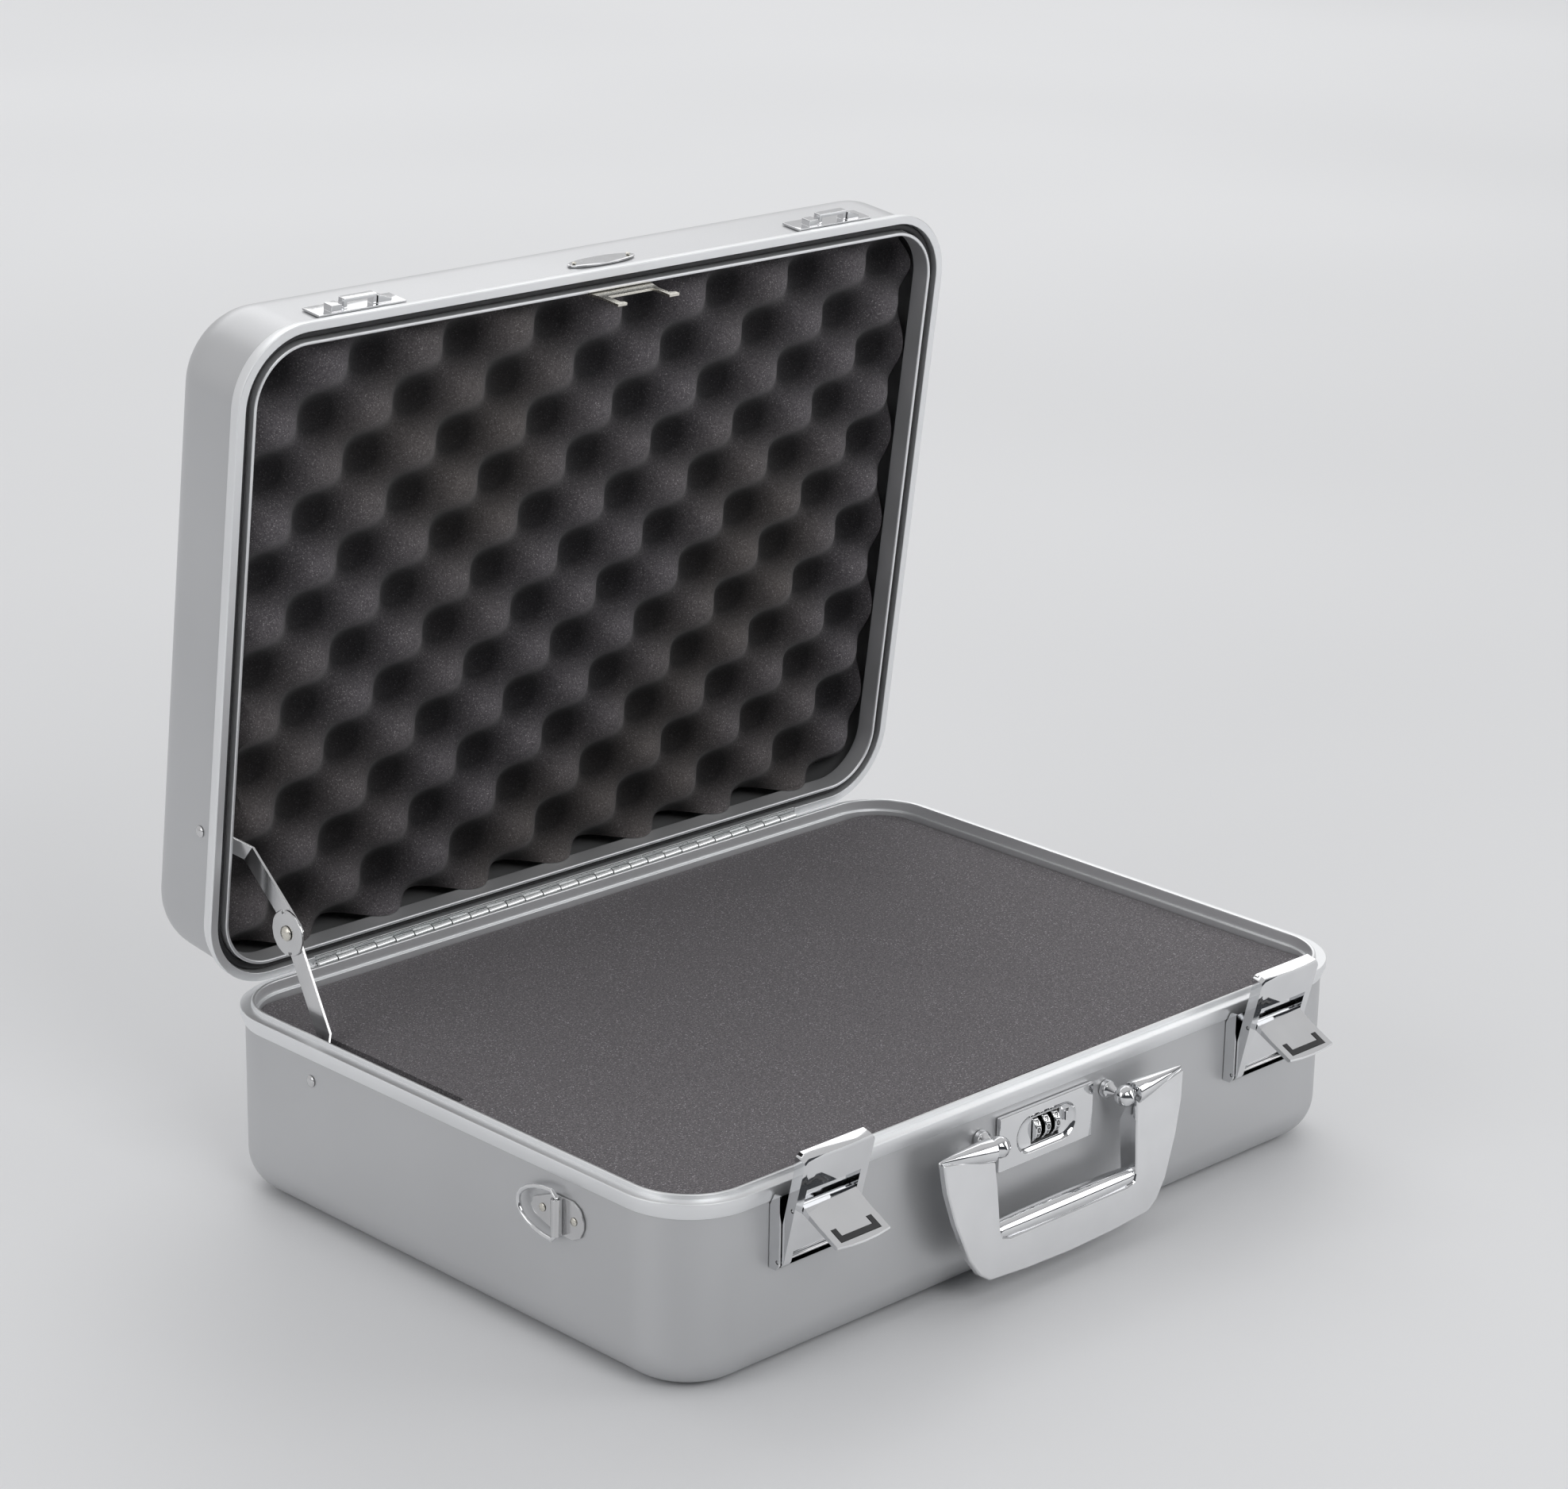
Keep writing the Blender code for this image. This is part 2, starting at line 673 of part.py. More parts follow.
def latch_housing(name, centre):
    """A shallow tray on the wall that carries the cover between its side walls."""
    front = FRONT_WALL - HOUSING_DEPTH
    back = FRONT_WALL - GAP
    low = COVER_PIVOT.z - 0.0041
    rim_low = BASE_H - 0.0080
    outline = [
        (back, low), (back, rim_low - 0.0014), (FRONT_WALL - 0.0030, BASE_H - 0.0040),
        (front, BASE_H - 0.0040), (front, low + 0.0026), (front + 0.0018, low),
    ]
    thing = prism_x(name, outline, -HOUSING_W / 2, HOUSING_W / 2)
    inner = HOUSING_W / 2 - HOUSING_WALL
    room = box(name + "_room", (-inner, front - 0.01, low + 0.0011),
               (inner, back - 0.0011, BASE_H + 0.01))
    bore = turned(name + "_bore", on_cover(-HOUSING_W / 2 - 0.002, 0, 0), (1, 0, 0),
                  [(0, LATCH_BORE_R), (HOUSING_W + 0.004, LATCH_BORE_R)], 10)
    cut(thing, room, bore)
    shift(thing, centre)
    return finish(thing, "bright_chrome")


def shift(thing, centre):
    thing.data.transform(Matrix.Translation((centre, 0, 0)))


def catch(name, centre, lid):
    """The strike on the lid: a base plate, a low block, a square loop and a slanted wing."""
    wall = FRONT_WALL - GAP
    low = BASE_H + 0.0088
    high = BASE_H + 0.0215
    plate_face = wall - 0.0012
    reach = wall - 0.0062
    thing = box(name, (-0.0255, plate_face, low), (0.0255, wall, high))
    block = box(name + "_block", (-0.0178, wall - 0.0044, low + 0.001),
                (-0.0118, wall - 0.0004, high - 0.0058))
    loop_low = BASE_H + 0.0112
    loop_high = BASE_H + 0.0155
    loop = box(name + "_loop", (-0.0096, reach, loop_low), (0.0096, wall - 0.0004, loop_high))
    gap = box(name + "_gap", (-0.0076, reach + 0.0018, loop_low - 0.001),
              (0.0076, plate_face, loop_high + 0.001))
    cut(loop, gap)
    wing = loft(name + "_wing", [
        [(0.0100, wall - 0.0006, z), (0.0100, reach + 0.0010, z), (0.0112, reach + 0.0010, z),
         (0.0178, wall - 0.0030, z), (0.0178, wall - 0.0006, z)]
        for z in (low + 0.0015, loop_high - 0.0010)
    ])
    join(thing, block, loop, wing)
    shift(thing, centre)
    return finish(thing, "bright_chrome", lid, smooth=False)


def latch(side, sign, lid):
    centre = sign * LATCH_X
    place = COVER_PIVOT + Vector((centre, 0, 0))
    cover_axis = pivot(f"latch_{side}_cover_axis", place)
    root = Vector(on_cover(centre, LEVER_ROOT_D, LEVER_ROOT_H))
    lever_axis = pivot(f"latch_{side}_lever_axis", root, cover_axis)
    latch_housing(f"latch_{side}_housing", centre)
    latch_cover(f"latch_{side}_cover", centre, cover_axis)
    latch_lever(f"latch_{side}_lever", centre, lever_axis)
    latch_inlay(f"latch_{side}_inlay", centre, lever_axis)
    for part, middle, width, carrier in (
        ("pin", place, HOUSING_W - 0.0004, None),
        ("lever_pin", root, COVER_W - 0.0006, cover_axis),
    ):
        pin = turned(f"latch_{side}_{part}", middle - Vector((width / 2, 0, 0)), (1, 0, 0),
                     [(0, LATCH_PIN_R), (width, LATCH_PIN_R)], 10)
        finish(pin, "steel_strip", carrier)
    catch(f"catch_{side}", centre, lid)
    cover_axis.rotation_euler.x = COVER_LEAN
    lever_axis.rotation_euler.x = -LEVER_OPEN


# ---------------------------------------------------------------- handle


def handle(carrier):
    """A plate with a wide lower bar, two horn-shaped tops and a round grip behind the bar."""
    face = HANDLE_PIVOT.y - 0.0028
    top = HANDLE_PIVOT.z
    right = [
        (HANDLE_IN_X, top - 0.0030), (HANDLE_TIP_X - 0.0010, top + 0.0030),
        (HANDLE_TIP_X - 0.0028, top - 0.0110), (HANDLE_TIP_X - 0.0075, top - 0.0275),
        (HANDLE_TIP_X - 0.0155, top - 0.0470), (HANDLE_TIP_X - 0.0220, top - 0.0560),
        (HANDLE_TIP_X - 0.0285, top - 0.0604), (0.030, top - 0.0622), (0.0, top - 0.0630),
    ]
    inner = [(0.0, top - 0.0440), (0.0400, top - 0.0440), (0.0452, top - 0.0425),
             (0.0466, top - 0.0380), (0.0474, top - 0.0180)]
    outline = right + [(-x, z) for x, z in reversed(right[:-1])]
    outline += [(-x, z) for x, z in reversed(inner)] + inner[1:]
    thing = prism_y("handle", outline, face, face + HANDLE_T)
    soften(thing, 0.0006, 1, 50)
    for sign in (1, -1):
        start = Vector((sign * HANDLE_IN_X, HANDLE_PIVOT.y, top))
        direction = Vector((sign * (HANDLE_TIP_X - HANDLE_IN_X), -0.0004, 0.0036))
        length = direction.length
        horn = turned(f"handle_horn_{sign}", start, direction,
                      [(0, 0.93 * HORN_R), (0.02 * length, HORN_R), (0.25 * length, 0.86 * HORN_R),
                       (0.7 * length, 0.45 * HORN_R), (0.97 * length, 0.15 * HORN_R),
                       (length, 0.06 * HORN_R)], 16)
        socket = turned(f"handle_socket_{sign}", start - Vector((sign * 0.002, 0, 0)),
                        (sign, 0, 0), [(0, 0.0019), (0.0085, 0.0019)], 12)
        cheek_x = sorted((sign * CHEEK_X, sign * (CHEEK_X + CHEEK_W)))
        cheek = prism_x(f"handle_cheek_{sign}", [
            (face + 0.0010, top - 0.0062), (face + 0.0066, top - 0.0076),
            (face + CHEEK_D, top - 0.0150), (face + CHEEK_D, top - 0.0400),
            (face + 0.0010, top - 0.0430)], *cheek_x)
        join(thing, horn, cheek)
        cut(thing, socket)
    half_grip = 0.0482
    grip = turned("handle_grip", (-half_grip, face + 0.0049, top - 0.0408), (1, 0, 0),
                  [(half_grip * (1 + along), wide) for along, wide in (
                      (-1.0, 0.0040), (-0.9, 0.0046), (-0.6, 0.0051), (0.0, 0.0054),
                      (0.6, 0.0051), (0.9, 0.0046), (1.0, 0.0040))], 20)
    join(thing, grip)
    return finish(thing, "bright_chrome", carrier)


def handle_post(side, sign):
    """A collar on the wall, a neck and the ball with the stub that the handle turns on."""
    x = sign * HANDLE_PIVOT_X
    reach = FRONT_WALL - GAP - HANDLE_PIVOT.y
    ball = [(0.94, 0.34), (0.70, 0.71), (0.35, 0.94), (0.0, 1.0), (-0.35, 0.94), (-0.70, 0.71)]
    stations = sorted((reach - BALL_R * along, BALL_R * wide) for along, wide in ball)
    neck = [(0.0, 0.0044), (0.0024, 0.0046), (0.0034, 0.0040), (0.0042, 0.0032)]
    body = neck + [(at, wide) for at, wide in stations if at > neck[-1][0] + 0.0005]
    body.append((reach + BALL_R, BALL_R * 0.10))
    thing = turned(f"handle_post_{side}", (x, FRONT_WALL - GAP, HANDLE_PIVOT.z), (0, -1, 0), body, 16)
    stub = turned(f"handle_stub_{side}", (x, HANDLE_PIVOT.y, HANDLE_PIVOT.z), (sign, 0, 0),
                  [(0, 0.0015), (0.0115, 0.0015)], 12)
    join(thing, stub)
    return finish(thing, "bright_chrome")


# ---------------------------------------------------------------- lock


def stadium(half_w, half_h, steps=6):
    points = []
    for sign in (1, -1):
        for i in range(steps + 1):
            turn = -pi / 2 + pi * i / steps
            points.append((sign * (half_w - half_h + half_h * cos(turn)),
                           LOCK_Z + sign * half_h * sin(turn)))
    return points


def lock_plate():
    back = FRONT_WALL - GAP
    front = back - LOCK_PLATE_T
    thing = box("lock_plate", (-LOCK_PLATE_W / 2, front, LOCK_Z - LOCK_PLATE_H / 2),
                (LOCK_PLATE_W / 2, back, LOCK_Z + LOCK_PLATE_H / 2))
    soften(thing, 0.0007, 1, 60)
    recess = prism_y("lock_recess", stadium(0.020, 0.0092), front - 0.001, front + 0.0014)
    window = box("lock_dial_window", (DIAL_SHIFT - 0.0102, front - 0.001, LOCK_Z - 0.0066),
                 (DIAL_SHIFT + 0.0102, back + 0.001, LOCK_Z + 0.0066))
    slot = box("lock_slide_slot", (0.0126, front - 0.001, LOCK_Z - 0.0006),
               (0.0168, back - 0.0004, LOCK_Z + 0.0046))
    cut(thing, recess, window, slot)
    return finish(thing, "bright_chrome", smooth=False)


def lock_slide(carrier):
    """The small opener that pushes along the case to free the hooks."""
    floor = FRONT_WALL - GAP - LOCK_PLATE_T + 0.0014
    back = FRONT_WALL - GAP - 0.0007
    outline = [(0.0129, back), (0.0139, back), (0.0146, floor - 0.0013), (0.0139, floor - 0.0019),
               (0.0131, floor - 0.0014)]
    rings = [[(x, y, z) for x, y in outline] for z in (LOCK_Z - 0.0003, LOCK_Z + 0.0043)]
    return finish(loft("lock_slide", rings), "bright_chrome", carrier, smooth=False)


def lock_body():
    """The bracket behind the wall that holds the dials' axle."""
    back = FRONT_WALL + SHELL_T + GAP
    thing = box("lock_body", (-0.028, back, LOCK_Z - 0.0140), (0.028, back + 0.0105, LOCK_Z + 0.0045))
    room = box("lock_body_room", (DIAL_SHIFT - 0.0105, back - 0.001, LOCK_Z - 0.0080),
               (DIAL_SHIFT + 0.0105, back + 0.02, LOCK_Z + 0.01))
    bore = turned("lock_body_bore", (-0.022, DIAL_AXIS_Y, LOCK_Z), (1, 0, 0),
                  [(0, 0.0012), (0.046, 0.0012)], 10)
    cut(thing, room, bore)
    finish(thing, "nickel_fitting", smooth=False)
    axle = turned("dial_axle", (-0.0215, DIAL_AXIS_Y, LOCK_Z), (1, 0, 0),
                  [(0, 0.0009), (0.045, 0.0009)], 10)
    finish(axle, "steel_strip")


def dial(number):
    """A number wheel with a milled flange beside its band."""
    middle = DIAL_SHIFT + (number - 2) * DIAL_PITCH
    place = (middle - DIAL_W / 2, DIAL_AXIS_Y, LOCK_Z)
    carrier = pivot(f"dial_{number}_axis", (middle, DIAL_AXIS_Y, LOCK_Z))
    thing = turned(f"dial_{number}", place, (1, 0, 0),
                   [(0, DIAL_R - 0.0004), (0.0003, DIAL_R), (0.0010, DIAL_R),
                    (0.0013, DIAL_R - 0.0006), (DIAL_W - 0.0004, DIAL_R - 0.0006),
                    (DIAL_W, DIAL_R - 0.0010)], 20)
    bore = turned(f"dial_{number}_bore", (middle - DIAL_W, DIAL_AXIS_Y, LOCK_Z), (1, 0, 0),
                  [(0, 0.0013), (2 * DIAL_W, 0.0013)], 10)
    cut(thing, bore)
    return finish(thing, "bright_chrome", carrier)


def lock_hook(lid):
    """The bent plate on the lid's rim whose two hooks drop into the lock."""
    back = -HALF_D + LID_RIM_IN + GAP
    outline = [
        (-0.0200, 0.0100), (0.0200, 0.0100), (0.0200, 0.0010), (0.0180, -0.0060),
        (0.0180, -0.0140), (0.0215, -0.0150), (0.0215, -0.0178), (0.0150, -0.0178),
        (0.0145, -0.0062), (-0.0145, -0.0062), (-0.0145, -0.0150), (-0.0125, -0.0156),
        (-0.0125, -0.0178), (-0.0185, -0.0178), (-0.0185, -0.0060), (-0.0200, 0.0010),
    ]
    thing = prism_y("lock_hook", [(x, BASE_H + w) for x, w in outline], back, back + 0.0013)
    return finish(thing, "nickel_fitting", lid, smooth=False)


# ---------------------------------------------------------------- badge, rings, stay


def badge(lid):
    wall = FRONT_WALL - GAP
    z = BASE_H + 0.0165
    points = [(0.0215 * cos(a), z + 0.0052 * sin(a)) for a in (tau * i / 20 for i in range(20))]
    thing = prism_y("badge", points, wall - 0.0010, wall)
    holes = []
    for side, sign in (("left", -1), ("right", 1)):
        place = (sign * 0.0175, wall, z)
        holes.append(turned(f"badge_hole_{side}", Vector(place) + Vector((0, 0.001, 0)), (0, -1, 0),
                            [(0, 0.0009), (0.004, 0.0009)], 10))
        rivet = turned(f"badge_rivet_{side}", place, (0, -1, 0),
                       [(0, 0.0006), (0.0013, 0.0006), (0.0013, 0.0013), (0.0017, 0.0011),
                        (0.0020, 0.0005)], 10)
        finish(rivet, "nickel_fitting", lid)
    cut(thing, *holes)
    return finish(thing, "bright_chrome", lid)


def ring_clip(side, sign):
    """A riveted plate with a rolled sleeve, and the strap ring that turns in the sleeve."""
    wall = sign * (HALF_W - RIM_PROUD + GAP)
    out = sign * CLIP_T
    half_h = 0.0092
    outline = [(RING_Y + 0.0198, -0.0010), (RING_Y + 0.0180, 0.0032), (RING_Y + 0.0040, half_h),
               (RING_Y - 0.0080, half_h), (RING_Y - 0.0128, 0.0066), (RING_Y - 0.0150, 0.0020),
               (RING_Y - 0.0150, -0.0020), (RING_Y - 0.0128, -0.0066), (RING_Y - 0.0080, -half_h),
               (RING_Y + 0.0040, -half_h), (RING_Y + 0.0180, -0.0042)]
    rings = [[(x, y, RING_Z + h) for y, h in outline] for x in (wall, wall + out)]
    thing = loft(f"ring_clip_{side}", rings)
    axis_x = sign * (HALF_W - RIM_PROUD + RING_OUT)
    sleeve = turned(f"ring_sleeve_{side}", (axis_x, RING_Y, RING_Z - 0.0088), (0, 0, 1),
                    [(0, SLEEVE_R), (0.0176, SLEEVE_R)], 14)
    join(thing, sleeve)
    bore = turned(f"ring_bore_{side}", (axis_x, RING_Y, RING_Z - 0.02), (0, 0, 1),
                  [(0, RING_WIRE_R + GAP), (0.04, RING_WIRE_R + GAP)], 10)
    cut(thing, bore)
    for end, y in (("front", RING_Y - 0.0088), ("back", RING_Y + 0.0118)):
        hole = turned(f"ring_hole_{side}_{end}", (wall - out, y, RING_Z), (sign, 0, 0),
                      [(0, 0.0012), (0.004, 0.0012)], 10)
        cut(thing, hole)
        rivet = turned(f"ring_rivet_{side}_{end}", (wall, y, RING_Z), (sign, 0, 0),
                       [(0, 0.0009), (0.0011, 0.0009), (0.0011, 0.0021), (0.0015, 0.0018),
                        (0.0018, 0.0008)], 12)
        finish(rivet, "nickel_fitting")
    finish(thing, "steel_strip")
    carrier = pivot(f"ring_{side}_axis", (axis_x, RING_Y, RING_Z))
    path = [(axis_x, RING_Y, RING_Z + h) for h in (-0.0090, 0.0, 0.0090)]
    for i in range(13):
        turn = pi / 2 - pi * i / 12
        path.append((axis_x, RING_Y + 0.0030 + (RING_REACH - 0.0030) * cos(turn),
                     RING_Z + RING_HALF_H * sin(turn)))
    ring = tube(f"d_ring_{side}", path, (1, 0, 0), RING_WIRE_R)
    finish(ring, "bright_chrome", carrier)


def turn_yz(point, angle):
    y, z = point
    return (y * cos(angle) - z * sin(angle), y * sin(angle) + z * cos(angle))


def stay_points():
    """Base pivot, lid pivot with the lid shut, and elbow with the lid shut, as (y, z)."""
    base = (STAY_BASE_Y, STAY_BASE_Z)
    shut = (HALF_D - STAY_LID_V, BASE_H + STAY_LID_W)
    swung = turn_yz((shut[0] - HINGE.y, shut[1] - HINGE.z), -LID_OPEN)
    opened = (HINGE.y + swung[0], HINGE.z + swung[1])
    return base, shut, elbow(base, shut), opened, elbow(base, opened)


def elbow(base, end):
    dy = end[0] - base[0]
    dz = end[1] - base[1]
    span = hypot(dy, dz)
    along = acos((STAY_LOWER_L**2 + span**2 - STAY_UPPER_L**2) / (2 * STAY_LOWER_L * span))
    direction = atan2(dz, dy) + along
    if base[1] + STAY_LOWER_L * sin(direction) < base[1]:
        direction = atan2(dz, dy) - along
    return (base[0] + STAY_LOWER_L * cos(direction), base[1] + STAY_LOWER_L * sin(direction))


def stay_arm(name, start, end, x_start, x_end, bend_from, bend_to):
    """A strip from one pivot to the next that steps sideways between the two bends."""
    dy = end[0] - start[0]
    dz = end[1] - start[1]
    length = hypot(dy, dz)
    run = (dy / length, dz / length)
    half = STAY_ARM_W / 2
    stops = [(-half, 0.35, x_start), (-0.7 * half, 0.80, x_start), (0.0, 1.0, x_start),
             (bend_from, 1.0, x_start), (bend_to, 1.0, x_end), (length, 1.0, x_end),
             (length + 0.7 * half, 0.80, x_end), (length + half, 0.35, x_end)]
    sections = []
    for along, wide, x in stops:
        w = half * wide
        ring = []
        for side, step in ((-1, 0), (1, 0), (1, 1), (-1, 1)):
            y = start[0] + run[0] * along - run[1] * side * w
            z = start[1] + run[1] * along + run[0] * side * w
            ring.append((x + (step - 0.5) * STAY_ARM_T, y, z))
        sections.append(ring)
    return loft(name, sections)


def wall_rivet(name, place, arm_x):
    """A stepped rivet through the left wall: domed outer head, shoulder, arm shank, inner head."""
    y, z = place
    outside = LEFT_WALL - GAP
    inside = SHELL_T + 2 * GAP
    shoulder = arm_x - STAY_ARM_T / 2 - GAP - outside
    head = shoulder + STAY_ARM_T + 2 * GAP
    return turned(name, (outside, y, z), (1, 0, 0),
                  [(-0.0011, 0.0008), (-0.0008, 0.0020), (-0.0003, 0.0028), (0, 0.0030),
                   (0, WALL_SHANK_R), (inside, WALL_SHANK_R), (inside, 0.0026),
                   (shoulder, 0.0026), (shoulder, 0.0014), (head, 0.0014),
                   (head, 0.0028), (head + 0.0006, 0.0024), (head + 0.0010, 0.0010)], 16)


def wall_hole(place):
    """The hole that a stay rivet passes through in a case wall."""
    return turned("wall_hole", (-HALF_W, place[0], place[1]), (1, 0, 0),
                  [(0, WALL_SHANK_R + GAP), (0.006, WALL_SHANK_R + GAP)], 16)


def arm_hole(place, radius):
    return turned("stay_hole", (-HALF_W, place[0], place[1]), (1, 0, 0),
                  [(0, radius), (0.03, radius)], 12)


def stay(lid):
    base, lid_shut, elbow_shut, lid_open, elbow_open = stay_points()
    lower_axis = pivot("stay_lower_axis", (STAY_WALL_X, *base))
    upper_axis = pivot("stay_upper_axis", (STAY_WALL_X, *lid_shut), lid)
    lower = stay_arm("stay_lower", base, elbow_shut, STAY_WALL_X, STAY_LOWER_X, 0.0085, 0.0180)
    cut(lower, arm_hole(base, 0.0017), arm_hole(elbow_shut, 0.0020))
    finish(lower, "steel_strip", lower_axis, smooth=False)
    upper = stay_arm("stay_upper", lid_shut, elbow_shut, STAY_WALL_X, STAY_UPPER_X, 0.0085, 0.0180)
    cut(upper, arm_hole(lid_shut, 0.0017))
    finish(upper, "steel_strip", upper_axis, smooth=False)
    finish(wall_rivet("stay_rivet_base", base, STAY_WALL_X), "steel_strip")
    finish(wall_rivet("stay_rivet_lid", lid_shut, STAY_WALL_X), "steel_strip", lid)
    stay_disc(elbow_shut, lower_axis)
    reach_shut = atan2(elbow_shut[1] - base[1], elbow_shut[0] - base[0])
    reach_open = atan2(elbow_open[1] - base[1], elbow_open[0] - base[0])
    lower_axis.rotation_euler.x = reach_open - reach_shut
    arm_shut = atan2(elbow_shut[1] - lid_shut[1], elbow_shut[0] - lid_shut[0])
    arm_open = atan2(elbow_open[1] - lid_open[1], elbow_open[0] - lid_open[0])
    turn = arm_open - arm_shut + LID_OPEN
    upper_axis.rotation_euler.x = (turn + pi) % tau - pi


def stay_disc(place, carrier):
    """The friction washer on the elbow, and the rivet through it."""
    face = STAY_LOWER_X - STAY_ARM_T / 2 - GAP
    y, z = place
    thing = turned("stay_disc", (face, y, z), (-1, 0, 0),
                   [(0, STAY_DISC_R - 0.0003), (0.0003, STAY_DISC_R), (0.0012, STAY_DISC_R),
                    (0.0015, STAY_DISC_R - 0.0005)], 28)
    cut(thing, arm_hole(place, 0.0020))
    for sign in (1, -1):
        notch = box(f"disc_notch_{sign}", (face - 0.01, y + sign * STAY_DISC_R - 0.0020, z - 0.0013),
                    (face + 0.01, y + sign * STAY_DISC_R + 0.0020, z + 0.0013))
        cut(thing, notch)
    finish(thing, "steel_strip", carrier)
    head = face - 0.0015 - GAP
    tail = STAY_LOWER_X + STAY_ARM_T / 2 + GAP
    run = tail - head
    rivet = turned("stay_rivet", (head, y, z), (1, 0, 0),
                   [(-0.0018, 0.0010), (-0.0013, 0.0027), (-0.0005, 0.0037), (0, 0.0038),
                    (0, 0.0017), (run, 0.0017), (run, 0.0030), (run + 0.0005, 0.0028)], 16)
    finish(rivet, "nickel_fitting", carrier)


# ---------------------------------------------------------------- build

clear_scene()
CASE = new_collection("equipment_case")
SHARED = {name: make_material(name) for name in MATERIALS}


def build():
    lid = pivot("lid_axis", HINGE)
    base_shell()
    base_frame()
    base_foam()
    lid_shell(lid)
    lid_frame(lid)
    lid_gasket(lid)
    lid_foam(lid)
    hinge(lid)
    for side, sign in (("left", -1), ("right", 1)):
        latch(side, sign, lid)
        handle_post(side, sign)
        ring_clip(side, sign)
    grip_axis = pivot("handle_axis", HANDLE_PIVOT)
    handle(grip_axis)
    grip_axis.rotation_euler.x = -HANDLE_LEAN
    lock_plate()
    lock_body()
    slide_axis = pivot("lock_slide_axis", (0.0135, FRONT_WALL, LOCK_Z))
    lock_slide(slide_axis)
    for number in (1, 2, 3):
        dial(number)
    lock_hook(lid)
    badge(lid)
    stay(lid)
    lid.rotation_euler.x = -LID_OPEN


build()
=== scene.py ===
"""Looks for the open aluminium equipment case: sheet and rim metal, chrome fittings, foams,
studio and camera. Lengths are in metres, in the frame of the CAD model."""

import json
from math import cos, pi, radians, sin, tau

import bmesh
import bpy
from mathutils import Matrix, Vector, noise


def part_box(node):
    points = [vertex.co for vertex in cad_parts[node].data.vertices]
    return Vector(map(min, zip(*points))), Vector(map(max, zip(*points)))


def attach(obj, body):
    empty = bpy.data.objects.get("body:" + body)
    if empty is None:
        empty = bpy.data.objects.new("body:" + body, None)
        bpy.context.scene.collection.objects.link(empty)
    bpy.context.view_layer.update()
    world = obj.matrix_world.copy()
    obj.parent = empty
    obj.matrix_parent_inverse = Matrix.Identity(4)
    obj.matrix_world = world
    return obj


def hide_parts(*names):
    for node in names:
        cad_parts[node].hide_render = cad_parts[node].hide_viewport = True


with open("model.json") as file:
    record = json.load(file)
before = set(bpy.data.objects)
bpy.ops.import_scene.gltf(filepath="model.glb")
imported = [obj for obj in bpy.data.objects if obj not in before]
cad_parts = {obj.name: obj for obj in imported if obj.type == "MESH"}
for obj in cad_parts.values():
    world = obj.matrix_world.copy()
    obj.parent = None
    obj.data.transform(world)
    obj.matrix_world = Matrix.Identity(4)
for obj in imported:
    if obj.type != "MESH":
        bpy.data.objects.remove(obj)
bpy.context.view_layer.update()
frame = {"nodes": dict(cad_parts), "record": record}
JOINTS = {joint["name"]: joint for joint in frame["record"]["behaviour"]["joints"]}

# ---------------------------------------------------------------- sizes, from the frame

RIM_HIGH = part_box("base_frame")[1]
HALF_W = RIM_HIGH.x
HALF_D = RIM_HIGH.y
HINGE = Vector(JOINTS["lid_hinge"]["pos_m"])
BASE_H = HINGE.z
LID_OPEN = radians(JOINTS["lid_hinge"]["range_deg"][1])
LID_TURN = (
    Matrix.Translation(HINGE) @ Matrix.Rotation(-LID_OPEN, 4, "X") @ Matrix.Translation(-HINGE)
)
CORNER_R = 0.038
RIM_PROUD = HALF_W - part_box("base_shell")[1].x
SHELL_T = 0.0012
BASE_EDGE_R = 0.020
LID_EDGE_R = 0.022
LID_PANEL_IN = 0.012
LID_H = 0.0575
CORNER_STEPS = 20
HINGE_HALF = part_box("hinge_pin")[1].x
HINGE_ROOM_R = 0.0032
LOCK_WINDOW_IN = Vector((0.0230, 0.0, 0.0065))
LOCK_WINDOW_RIGHT_IN = 0.0207


# ---------------------------------------------------------------- materials


